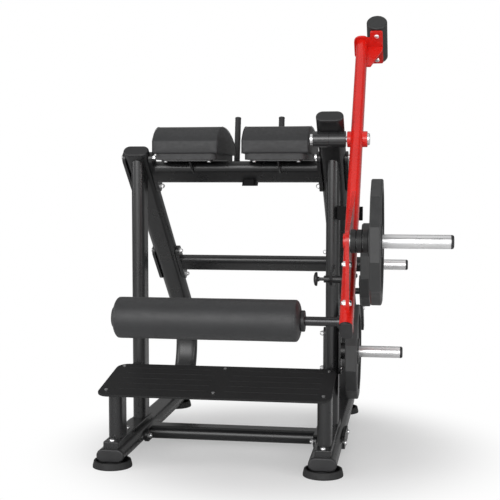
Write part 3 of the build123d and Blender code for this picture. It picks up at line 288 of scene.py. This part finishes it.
def vinyl(name, color, roughness):
    """Upholstery vinyl: pores between pebbles with painted shade in them, broad creases and a trace of
    sheen.
    """
    shader = Shader(name, color, roughness)
    shader.set("Sheen Weight", 0.03)
    shader.set("Sheen Roughness", 0.45)
    tone = shader.ramp(
        shader.noise(9.0, 5.0), [(0.32, shade(color, 0.85)), (0.68, shade(color, 1.15))])
    # Painted shade: the colour darkens in the grooves between pebbles, where the relief sinks.
    pores_painted_shade = shader.mix(shader.grey(shader.cells(620.0), 0.0, 1.0, 0.0, 0.16), shade(color, 0.6), tone)
    shader.bump(shader.cells(620.0), 0.0009, 0.35)
    shader.bump(shader.noise(240.0, 4.0), 0.0004, 0.3)
    shader.bump(shader.noise(38.0, 4.0), 0.0012, 0.22)
    return shader.done(pores_painted_shade, shader.grey(shader.noise(60.0, 4.0), roughness - 0.07, roughness + 0.09))


def chrome(name):
    """Bright plating with faint clouding and handling haze."""
    shader = Shader(name, (0.86, 0.86, 0.87), 0.2, 1.0)
    tone = shader.ramp(shader.noise(14.0, 4.0), [(0.35, (0.86, 0.86, 0.87)), (0.65, (0.93, 0.93, 0.93))])
    return shader.done(tone, shader.grey(shader.noise(24.0, 3.0), 0.25, 0.34))


def drawn_steel(name, color, roughness):
    """Drawn steel bar: fine lines along the bar and light tarnish."""
    shader = Shader(name, color, roughness, 1.0)
    shader.bump(shader.noise(18.0, 3.0, 0.6, (1.0, 40.0, 40.0)), 0.00003, 0.3)
    tone = shader.ramp(shader.noise(12.0, 5.0), [(0.3, shade(color, 0.8)), (0.7, shade(color, 1.15))])
    return shader.done(tone, shader.grey(shader.noise(50.0, 5.0), roughness - 0.08, roughness + 0.1))


def moulded(name, color, roughness, grain, specular=0.5):
    """Moulded rubber or plastic: fine spark-eroded texture and dusty tone."""
    shader = Shader(name, color, roughness)
    shader.set("Specular IOR Level", specular)
    shader.soft_edges(1.0 * MM)
    shader.bump(shader.noise(grain, 3.0), 0.00022, 0.5)
    shader.bump(shader.noise(55.0, 3.0), 0.0004, 0.15)
    dusty = shader.ramp(
        shader.noise(11.0, 5.0), [(0.3, shade(color, 0.8)), (0.75, shade(color, 1.25))])
    worn = shader.mix(shader.edge_mask(1.2 * MM), dusty, shade(color, 1.6))
    return shader.done(worn, shader.grey(shader.noise(40.0, 5.0), roughness - 0.07, roughness + 0.09))


def coated_iron(name, color):
    """Thick hammered coating on cast plates, rubbed at the corners."""
    shader = Shader(name, color, 0.42)
    shader.soft_edges(1.6 * MM)
    shader.bump(shader.cells(330.0, "SMOOTH_F1"), 0.0006, 0.3)
    shader.bump(shader.noise(90.0, 4.0), 0.0005, 0.3)
    tone = shader.ramp(shader.noise(8.0, 5.0), [(0.3, shade(color, 0.85)), (0.7, shade(color, 1.2))])
    worn = shader.mix(shader.edge_mask(2.0 * MM), tone, shade(color, 2.0))
    return shader.done(worn, shader.grey(shader.noise(32.0, 5.0), 0.36, 0.52))


FRAME_PAINT = powder_coat("frame_powder_coat", (0.0125, 0.0127, 0.0133), 0.28, 1.6, 0.58)
# The frame's black paint on the pivot housing, made lighter and glossier: the lighter colour is painted
# light, for a brighter highlight streak.
LIT_HOUSING_PAINT = powder_coat("housing_coat_painted_light", (0.016, 0.0162, 0.017), 0.2, 1.6, 0.75)
STEP_PAINT = powder_coat("step_powder_coat", (0.017, 0.017, 0.0175), 0.62, 2.4, 0.25, 1400.0)
ARM_PAINT = gloss_paint("arm_red_coat", (0.62, 0.011, 0.006))
CHROME = chrome("bright_chrome")
DARK_STEEL = drawn_steel("dark_steel", (0.07, 0.07, 0.072), 0.26)
STEEL = drawn_steel("drawn_steel", (0.42, 0.42, 0.43), 0.3)
BEARING_STEEL = drawn_steel("bearing_steel", (0.55, 0.55, 0.56), 0.22)
PAD_VINYL = vinyl("pad_vinyl", (0.0235, 0.024, 0.0255), 0.52)
ROLLER_VINYL = vinyl("roller_vinyl", (0.029, 0.0295, 0.031), 0.46)
PIPING_VINYL = vinyl("piping_vinyl", (0.016, 0.016, 0.017), 0.45)
BOARD_WRAP = vinyl("board_wrap", (0.026, 0.0265, 0.028), 0.5)
IRON = coated_iron("plate_coating", (0.028, 0.0285, 0.029))
WEIGHT_COAT = coated_iron("counterweight_coating", (0.016, 0.0165, 0.017))
# The frame's black paint made darker and matt for the handle arm and stop bracket: the darker colour is
# painted shade on faces the lamps light.
SHADE_DARKENED_PAINT = powder_coat("painted_shade_powder_coat", (0.005, 0.005, 0.0054), 0.62, 2.0, 0.13)
# Black rubber for the stop bumper: partly its own black, and darker than the other rubbers as painted shade
# on its face.
SHADE_DARKENED_RUBBER = moulded("stop_rubber_painted_shade", (0.0022, 0.0022, 0.0024), 0.75, 800.0, 0.08)
FOOT_RUBBER = moulded("foot_rubber", (0.009, 0.009, 0.0095), 0.66, 700.0)
RING_RUBBER = moulded("ring_rubber", (0.012, 0.012, 0.0125), 0.5, 900.0)
GRIP_RUBBER = moulded("grip_rubber", (0.014, 0.014, 0.015), 0.55, 1100.0)
CAP_PLASTIC = moulded("cap_plastic", (0.015, 0.015, 0.016), 0.42, 1200.0)
KNOB_PLASTIC = moulded("knob_plastic", (0.012, 0.012, 0.013), 0.36, 1300.0)


# ---------------------------------------------------------------- materials of the CAD nodes
NODE_FINISH = {
    FRAME_PAINT: [
        "left_frame_tube", "right_frame_tube", "left_upright", "right_upright", "left_front_leg",
        "right_front_leg", "base_rails", "upper_crossbeam", "middle_crossbeam", "lower_crossbeam",
        "clamp_plates", "step_frame", "pad_brackets", "pin_barrel", "front_storage_horn",
        "front_horn_backing", "rear_horn_collar", "plate_guard"],
    STEP_PAINT: ["step_plate"],
    # Pivot housing takes the frame paint lightened as painted light.
    LIT_HOUSING_PAINT: ["pivot_housing"],
    # Handle arm and stop bracket take the frame paint darkened as painted shade.
    SHADE_DARKENED_PAINT: ["handle_arm", "stop_bracket"],
    ARM_PAINT: ["arm_tube", "arm_gusset", "pivot_hub", "counterweight_bracket"],
    CHROME: [
        "frame_bolts", "frame_nuts", "step_screws", "pad_bolts", "foot_bolts", "arm_bolts",
        "pivot_caps", "loading_sleeve", "storage_tubes"],
    DARK_STEEL: ["roller_shaft", "pull_pin"],
    STEEL: ["grip_posts"],
    BEARING_STEEL: ["pivot_shaft", "pivot_bearings"],
    IRON: ["front_stored_plate", "rear_stored_plate", "weight_plate"],
    WEIGHT_COAT: ["counterweight"],
    # Stop bumper: black rubber with painted shade, darker than the other rubbers.
    SHADE_DARKENED_RUBBER: ["stop_bumper"],
    FOOT_RUBBER: ["feet"],
    RING_RUBBER: ["sleeve_rings"],
    GRIP_RUBBER: ["grip_sleeves"],
    CAP_PLASTIC: [
        "tube_end_caps", "arm_end_cap", "storage_caps", "sleeve_cap", "roller_caps", "roller_core"],
    KNOB_PLASTIC: ["pull_pin_knob"],
    BOARD_WRAP: ["left_pad_board", "right_pad_board"],
    PAD_VINYL: ["left_hip_pad", "right_hip_pad"],
    ROLLER_VINYL: ["roller_foam"],
}


def dress_node(name, material):
    """Gives a CAD node its finish and leaves its mesh as it is."""
    mesh = NODES[name].data
    mesh.materials.clear()
    mesh.materials.append(material)


for finish, names in NODE_FINISH.items():
    for node_name in names:
        dress_node(node_name, finish)


# ---------------------------------------------------------------- mesh helpers
def new_object(name, mesh, material):
    mesh.materials.clear()
    mesh.materials.append(material)
    made = bpy.data.objects.new(name, mesh)
    bpy.context.scene.collection.objects.link(made)
    return made


def smooth_shaded(obj):
    obj.data.polygons.foreach_set("use_smooth", [True] * len(obj.data.polygons))


def arc_through(first, middle, last, steps):
    """Points on the circle through three (y, z) points, ends included."""
    (ax, ay), (bx, by), (cx, cy) = first, middle, last
    d = 2 * (ax * (by - cy) + bx * (cy - ay) + cx * (ay - by))
    a2, b2, c2 = ax * ax + ay * ay, bx * bx + by * by, cx * cx + cy * cy
    ux = (a2 * (by - cy) + b2 * (cy - ay) + c2 * (ay - by)) / d
    uy = (a2 * (cx - bx) + b2 * (ax - cx) + c2 * (bx - ax)) / d
    radius = math.hypot(ax - ux, ay - uy)
    start = math.atan2(ay - uy, ax - ux)
    end = math.atan2(cy - uy, cx - ux)
    if end > start:
        end -= 2 * math.pi
    turn = [start + (end - start) * i / steps for i in range(steps + 1)]
    return [(ux + radius * math.cos(t), uy + radius * math.sin(t)) for t in turn]


def apply_modifiers(obj):
    """The object's evaluated mesh becomes its own, with no modifier left."""
    bpy.context.view_layer.update()
    evaluated = obj.evaluated_get(bpy.context.evaluated_depsgraph_get())
    mesh = bpy.data.meshes.new_from_object(evaluated)
    obj.modifiers.clear()
    obj.data = mesh


def points_of(obj):
    flat = np.zeros(len(obj.data.vertices) * 3)
    obj.data.vertices.foreach_get("co", flat)
    return flat.reshape(-1, 3)


def tube_along(name, points, radius, material):
    """Round cord along a closed outline, as a mesh."""
    curve = bpy.data.curves.new(name, "CURVE")
    curve.dimensions = "3D"
    spline = curve.splines.new("POLY")
    spline.points.add(len(points) - 1)
    for point, place in zip(spline.points, points):
        point.co = (*place, 1.0)
    spline.use_cyclic_u = True
    curve.bevel_depth = radius
    curve.bevel_resolution = 2
    carrier = bpy.data.objects.new(name, curve)
    bpy.context.scene.collection.objects.link(carrier)
    bpy.context.view_layer.update()
    mesh = bpy.data.meshes.new_from_object(carrier.evaluated_get(bpy.context.evaluated_depsgraph_get()))
    bpy.data.objects.remove(carrier)
    piece = new_object(name, mesh, material)
    smooth_shaded(piece)
    return piece


# ---------------------------------------------------------------- hip pads
def pad_outline(low, high, inset):
    """Side outline of a hip pad as (y, z) points: up the front, over the top and down the back."""
    deep = high.y - low.y
    tall = high.z - low.z

    def at(u, v):
        y = low.y + inset + u * (deep - 2 * inset)
        return (y, low.z + v * (tall - inset))

    front = arc_through(at(0, PAD_FRONT_HEIGHT), at(*PAD_BULGE), at(*PAD_CROWN), 10)
    back = arc_through(at(*PAD_CROWN), at(*PAD_BACK), at(*PAD_BACK_EDGE), 20)
    return [at(0, 0)] + front + back[1:] + [at(1, 0)]


def extruded_outline(name, outline, x0, x1, columns):
    """Closed mesh of a (y, z) outline carried from x0 to x1."""
    shape = bmesh.new()
    rings = []
    for column in range(columns + 1):
        x = x0 + (x1 - x0) * column / columns
        rings.append([shape.verts.new((x, y, z)) for y, z in outline])
    count = len(outline)
    for left, right in zip(rings, rings[1:]):
        for i in range(count):
            j = (i + 1) % count
            shape.faces.new((left[i], left[j], right[j], right[i]))
    shape.faces.new(list(reversed(rings[0])))
    shape.faces.new(rings[-1])
    bmesh.ops.recalc_face_normals(shape, faces=shape.faces)
    mesh = bpy.data.meshes.new(name)
    shape.to_mesh(mesh)
    shape.free()
    return mesh


def distance_to_outline(y, z, outline):
    """Shortest distance from each (y, z) to the open outline, without its bottom run."""
    best = np.full(len(y), np.inf)
    for (ay, az), (by, bz) in zip(outline, outline[1:]):
        length2 = (by - ay) ** 2 + (bz - az) ** 2
        t = np.clip(((y - ay) * (by - ay) + (z - az) * (bz - az)) / length2, 0, 1)
        best = np.minimum(best, np.hypot(y - ay - t * (by - ay), z - az - t * (bz - az)))
    return best


def make_pad(side):
    """Hip pad: foam block in sewn vinyl that puffs between its end seams and its front crease."""
    node = side + "_hip_pad"
    low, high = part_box(node)
    outline = pad_outline(low, high, PAD_INSET)
    x0, x1 = low.x + PAD_INSET, high.x - PAD_INSET
    pad = new_object(side + "_pad_cover", extruded_outline(node, outline, x0, x1, 4), PAD_VINYL)
    remesh = pad.modifiers.new("voxels", "REMESH")
    remesh.mode = "VOXEL"
    remesh.voxel_size = PAD_VOXEL
    apply_modifiers(pad)
    rest = points_of(pad)
    seam = distance_to_outline(rest[:, 1], rest[:, 2], outline)
    edge = np.minimum(rest[:, 0] - x0, x1 - rest[:, 0])
    at_end_seam = (seam < SEAM_REACH) & (edge < SEAM_REACH)
    crease_z = low.z + PAD_FRONT_HEIGHT * (high.z - low.z)
    at_crease = (rest[:, 1] < low.y + CREASE_REACH) & (abs(rest[:, 2] - crease_z) < PAD_VOXEL)
    at_base = rest[:, 2] < low.z + BASE_REACH
    puff(pad, rest, at_end_seam | at_crease | at_base)
    relax(pad)
    subdivide(pad)
    smooth_shaded(pad)
    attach(pad, "frame")
    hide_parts(node)
    add_pad_piping(side, low, high)


def puff(piece, rest, held):
    """Inflates a cover between its held seams, and caps how far any point moves."""
    group = piece.vertex_groups.new(name="held")
    group.add([int(i) for i in np.flatnonzero(held)], 1.0, "REPLACE")
    cloth = piece.modifiers.new("cloth", "CLOTH")
    cloth.settings.quality = CLOTH_QUALITY
    cloth.settings.mass = CLOTH_MASS
    cloth.settings.tension_stiffness = CLOTH_STRETCH
    cloth.settings.compression_stiffness = CLOTH_STRETCH
    cloth.settings.shear_stiffness = CLOTH_SHEAR
    cloth.settings.bending_stiffness = CLOTH_BEND
    cloth.settings.use_pressure = True
    cloth.settings.uniform_pressure_force = PAD_PRESSURE
    cloth.settings.vertex_group_mass = "held"
    cloth.settings.effector_weights.gravity = 0
    for step in range(1, PAD_STEPS + 1):
        bpy.context.scene.frame_set(step)
    apply_modifiers(piece)
    bpy.context.scene.frame_set(1)
    moved = points_of(piece) - rest
    far = np.linalg.norm(moved, axis=1, keepdims=True)
    moved *= np.minimum(1.0, PAD_PUFF / np.maximum(far, 1e-9))
    piece.data.vertices.foreach_set("co", (rest + moved).ravel())
    piece.data.update()


def relax(piece):
    """One light smoothing, which takes the voxel steps off the cover."""
    smooth = piece.modifiers.new("relax", "SMOOTH")
    smooth.factor = 0.5
    smooth.iterations = 1
    apply_modifiers(piece)


def subdivide(piece):
    finer = piece.modifiers.new("finer", "SUBSURF")
    finer.levels = 1
    finer.render_levels = 1
    apply_modifiers(piece)


def add_pad_piping(side, low, high):
    """Sewn piping round both ends of a pad."""
    outline = pad_outline(low, high, PAD_INSET + PIPING_PROUD)
    for end, x in (("inner", low.x + PIPING_INSET), ("outer", high.x - PIPING_INSET)):
        path = [(x, y, z) for y, z in outline]
        cord = tube_along(f"{side}_pad_piping_{end}", path, PIPING_RADIUS, PIPING_VINYL)
        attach(cord, "frame")


for pad_side in ("left", "right"):
    make_pad(pad_side)


# ---------------------------------------------------------------- lathe work
def lathe(name, profile, material, segments, wobble=None):
    """Solid of revolution about the X axis through the origin, from (x, radius) points."""
    shape = bmesh.new()
    rings = []
    for x, radius in profile:
        ring = []
        for step in range(segments):
            turn = 2 * math.pi * step / segments
            r = radius + (wobble(x, turn, radius) if wobble else 0.0)
            ring.append(shape.verts.new((x, r * math.cos(turn), r * math.sin(turn))))
        rings.append(ring)
    for left, right in zip(rings, rings[1:]):
        for i in range(segments):
            j = (i + 1) % segments
            shape.faces.new((left[i], left[j], right[j], right[i]))
    bmesh.ops.recalc_face_normals(shape, faces=shape.faces)
    mesh = bpy.data.meshes.new(name)
    shape.to_mesh(mesh)
    shape.free()
    made = new_object(name, mesh, material)
    smooth_shaded(made)
    return made


# ---------------------------------------------------------------- roller
def roller_end(tip, hub_radius, radius):
    """Profile of a domed end as (x, radius), from the tip's x inwards."""
    dome = []
    for step in range(ROLLER_DOME_STEPS + 1):
        turn = math.pi / 2 * step / ROLLER_DOME_STEPS
        rise = math.sin(turn) ** ROLLER_DOME_POWERS[0]
        depth = (1 - math.cos(turn)) ** ROLLER_DOME_POWERS[1]
        dome.append((tip + ROLLER_DOME * depth, hub_radius + (radius - hub_radius) * rise))
    return dome


def slack(x, around, scale):
    """Smooth noise over the cover that joins up after a full turn."""
    return noise.noise(Vector((x * scale[0], around[0] * scale[1], around[1] * scale[1])))


def make_roller():
    """Foam roller in vinyl: a tight cover with domed ends, end seams and a lengthwise seam."""
    low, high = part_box("roller_foam")
    cap_low, cap_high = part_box("roller_caps")
    radius = (high.z - low.z) / 2
    hub_radius = (cap_high.z - cap_low.z) / 2
    half = (high.x - low.x) / 2
    centre = Vector(((high.x + low.x) / 2, (low.y + high.y) / 2, (low.z + high.z) / 2))
    tight = radius - ROLLER_SKIN
    left = [(-half + ROLLER_TUCK_DEPTH, hub_radius * ROLLER_TUCK_SHARE)]
    left += roller_end(-half + ROLLER_TIP_GAP, hub_radius - ROLLER_HUB_GAP, tight)
    straight = half - ROLLER_DOME - ROLLER_SEAM_GAP
    body = [
        (-straight + 2 * straight * i / ROLLER_STATIONS, tight) for i in range(ROLLER_STATIONS + 1)]
    right = [(-x, r) for x, r in reversed(left)]
    end_seam = half - ROLLER_DOME

    def wobble(x, turn, r):
        """Change of radius at a point: slack in the cover, seams and end pleats."""
        around = (math.cos(turn), math.sin(turn))
        offset = SLOW_SLACK * slack(x, around, SLOW_SCALE) + FINE_SLACK * slack(x, around, FINE_SCALE)
        offset -= END_SEAM_DEPTH * math.exp(-((abs(x) - end_seam) / END_SEAM_WIDTH) ** 2)
        if abs(x) > end_seam:
            offset += PLEAT_HEIGHT * math.sin(turn * END_PLEATS) * (r / radius) ** 4
        if r > radius * LONG_SEAM_SHARE:
            offset -= LONG_SEAM_DEPTH * math.exp(-((turn - LONG_SEAM_TURN) / LONG_SEAM_SPREAD) ** 2)
        return min(MOST_PROUD, offset)

    cover = lathe("roller_cover", left + body + right, ROLLER_VINYL, ROLLER_SEGMENTS, wobble)
    cover.location = centre
    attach(cover, "roller")
    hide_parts("roller_foam")


make_roller()


# ---------------------------------------------------------------- grips
def grip_profile(reach):
    """Half section of a grip along its post as (height, radius): collar, moulded rings and rounded top."""
    groove = GRIP_RADIUS - GROOVE_DEPTH
    ring = groove + RING_HEIGHT
    profile = [(0.0, GRIP_BORE), (0.0, GRIP_RADIUS), (8 * MM, GRIP_RADIUS), (9 * MM, groove)]
    start = FIRST_RING
    while start < reach - PLAIN_TOP:
        profile += [
            (start, groove), (start + 1 * MM, ring), (start + 4 * MM, ring), (start + 5 * MM, groove)]
        start += RING_PITCH
    profile += [
        (reach - 11 * MM, groove), (reach - 10 * MM, GRIP_RADIUS), (reach - 3 * MM, GRIP_RADIUS),
        (reach - 1 * MM, GRIP_RADIUS - 1.5 * MM), (reach, GRIP_RADIUS - 4 * MM), (reach, 0.01 * MM)]
    return profile


def make_grips():
    """Rubber grip sleeves on their leaning posts."""
    low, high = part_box("grip_sleeves")
    overhang = GRIP_RADIUS * math.sin(GRIP_LEAN)
    reach = (high.z - low.z - 2 * overhang) / math.cos(GRIP_LEAN)
    base = (low.y + GRIP_RADIUS * math.cos(GRIP_LEAN), low.z + overhang)
    for name, x in (("left", low.x + GRIP_RADIUS), ("right", high.x - GRIP_RADIUS)):
        sleeve = lathe(f"{name}_grip", grip_profile(reach), GRIP_RUBBER, GRIP_SEGMENTS)
        sleeve.rotation_euler = Euler((0, -math.pi / 2, 0))
        bpy.context.view_layer.update()
        sleeve.data.transform(sleeve.matrix_world)
        sleeve.matrix_world.identity()
        sleeve.rotation_euler = Euler((-GRIP_LEAN, 0, 0))
        sleeve.location = (x, *base)
        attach(sleeve, "frame")
        if name == "left":
            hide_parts("grip_sleeves")


make_grips()


# ---------------------------------------------------------------- studio
def floor_material(centre, reach):
    """Pale floor that brightens into the white surround away from the machine and bounces little light."""
    shader = Shader("studio_floor", (0.8, 0.8, 0.8), 0.7)
    shader.set("Specular IOR Level", 0.1)
    tone = shader.ramp(shader.noise(3.0, 3.0), [(0.3, (0.79, 0.79, 0.79)), (0.7, (0.82, 0.82, 0.82))])
    offset = shader.node("ShaderNodeVectorMath", operation="DISTANCE")
    shader.link(shader.coords, offset.inputs[0])
    offset.inputs[1].default_value = centre
    fade = shader.node("ShaderNodeMapRange", interpolation_type="SMOOTHERSTEP")
    fade.inputs["From Min"].default_value = reach * FLOOR_FADE[0]
    fade.inputs["From Max"].default_value = reach * FLOOR_FADE[1]
    fade.inputs["To Min"].default_value = FLOOR_GLOW
    shader.link(offset.outputs["Value"], fade.inputs["Value"])
    material = shader.done(tone)
    seen = shader.node("ShaderNodeMixShader")
    glow = shader.node("ShaderNodeEmission")
    glow.inputs["Color"].default_value = (1, 1, 1, 1)
    glow.inputs["Strength"].default_value = 1.0
    shader.link(fade.outputs["Result"], seen.inputs["Fac"])
    shader.link(shader.bsdf.outputs["BSDF"], seen.inputs[1])
    shader.link(glow.outputs["Emission"], seen.inputs[2])
    dim = shader.node("ShaderNodeBsdfDiffuse")
    dim.inputs["Color"].default_value = (FLOOR_BOUNCE, FLOOR_BOUNCE, FLOOR_BOUNCE, 1)
    path = shader.node("ShaderNodeLightPath")
    split = shader.node("ShaderNodeMixShader")
    shader.link(path.outputs["Is Camera Ray"], split.inputs["Fac"])
    shader.link(dim.outputs["BSDF"], split.inputs[1])
    shader.link(seen.outputs["Shader"], split.inputs[2])
    shader.link(split.outputs["Shader"], shader.tree.nodes["Material Output"].inputs["Surface"])
    return material


def make_floor():
    low, high = (Vector(corner) for corner in CAD_BOX)
    centre = ((low.x + high.x) / 2, (low.y + high.y) / 2, 0.0)
    mesh = bpy.data.meshes.new("floor")
    corners = [(x * FLOOR_SIZE, y * FLOOR_SIZE, 0) for x, y in ((-1, -1), (1, -1), (1, 1), (-1, 1))]
    mesh.from_pydata(corners, [], [(0, 1, 2, 3)])
    floor = new_object("floor", mesh, floor_material(centre, (high.y - low.y) / 2))


def softbox(name, place, target, size, watts):
    """Soft rectangular light that the camera does not see."""
    lamp = bpy.data.lights.new(name, "AREA")
    lamp.shape = "RECTANGLE"
    lamp.size = size[0]
    lamp.size_y = size[1]
    lamp.energy = watts
    holder = bpy.data.objects.new(name, lamp)
    holder.location = place
    holder.rotation_euler = (Vector(target) - Vector(place)).to_track_quat("-Z", "Y").to_euler()
    holder.visible_camera = False
    bpy.context.scene.collection.objects.link(holder)


def make_world():
    """White backdrop; as a light it is bright in front, round the horizon, with a dark zenith and floor."""
    world = bpy.data.worlds.new("studio")
    world.use_nodes = True
    bpy.context.scene.world = world
    tree = world.node_tree
    backdrop = tree.nodes["Background"]
    backdrop.inputs["Color"].default_value = (1, 1, 1, 1)
    backdrop.inputs["Strength"].default_value = 1.0
    coords = tree.nodes.new("ShaderNodeTexCoord")
    split = tree.nodes.new("ShaderNodeSeparateXYZ")
    tree.links.new(coords.outputs["Generated"], split.inputs["Vector"])
    height = level_ramp(tree, split.outputs["Z"], -1.0, 1.0, WORLD_HEIGHT)
    facing = level_ramp(tree, split.outputs["Y"], 1.0, -1.0, WORLD_FACING)
    product = tree.nodes.new("ShaderNodeMath")
    product.operation = "MULTIPLY"
    tree.links.new(height, product.inputs[0])
    tree.links.new(facing, product.inputs[1])
    fill = tree.nodes.new("ShaderNodeBackground")
    fill.inputs["Color"].default_value = (1, 1, 1, 1)
    tree.links.new(product.outputs["Value"], fill.inputs["Strength"])
    path = tree.nodes.new("ShaderNodeLightPath")
    blend = tree.nodes.new("ShaderNodeMixShader")
    tree.links.new(path.outputs["Is Camera Ray"], blend.inputs["Fac"])
    tree.links.new(fill.outputs["Background"], blend.inputs[1])
    tree.links.new(backdrop.outputs["Background"], blend.inputs[2])
    tree.links.new(blend.outputs["Shader"], tree.nodes["World Output"].inputs["Surface"])


def level_ramp(tree, value, low, high, stops):
    """Brightness that follows one part of the direction, through stops of (place, level)."""
    span = tree.nodes.new("ShaderNodeMapRange")
    span.inputs["From Min"].default_value = low
    span.inputs["From Max"].default_value = high
    ramp = tree.nodes.new("ShaderNodeValToRGB")
    while len(ramp.color_ramp.elements) < len(stops):
        ramp.color_ramp.elements.new(0.5)
    for element, (place, level) in zip(ramp.color_ramp.elements, stops):
        element.position = place
        element.color = (level, level, level, 1)
    tree.links.new(value, span.inputs["Value"])
    tree.links.new(span.outputs["Result"], ramp.inputs["Fac"])
    return ramp.outputs["Color"]


def make_camera():
    camera = bpy.data.cameras.new("camera")
    camera.lens = CAMERA_LENS
    camera.sensor_width = 36.0
    camera.clip_end = 200.0
    holder = bpy.data.objects.new("camera", camera)
    holder.location = CAMERA_PLACE
    holder.rotation_euler = (math.pi / 2 + CAMERA_PITCH, 0.0, CAMERA_YAW)
    bpy.context.scene.collection.objects.link(holder)
    bpy.context.scene.camera = holder


make_floor()
make_world()
for name, place, target, size, watts in SOFTBOXES:
    softbox(name, place, target, size, watts)
make_camera()
bpy.context.scene.view_settings.view_transform = "Standard"
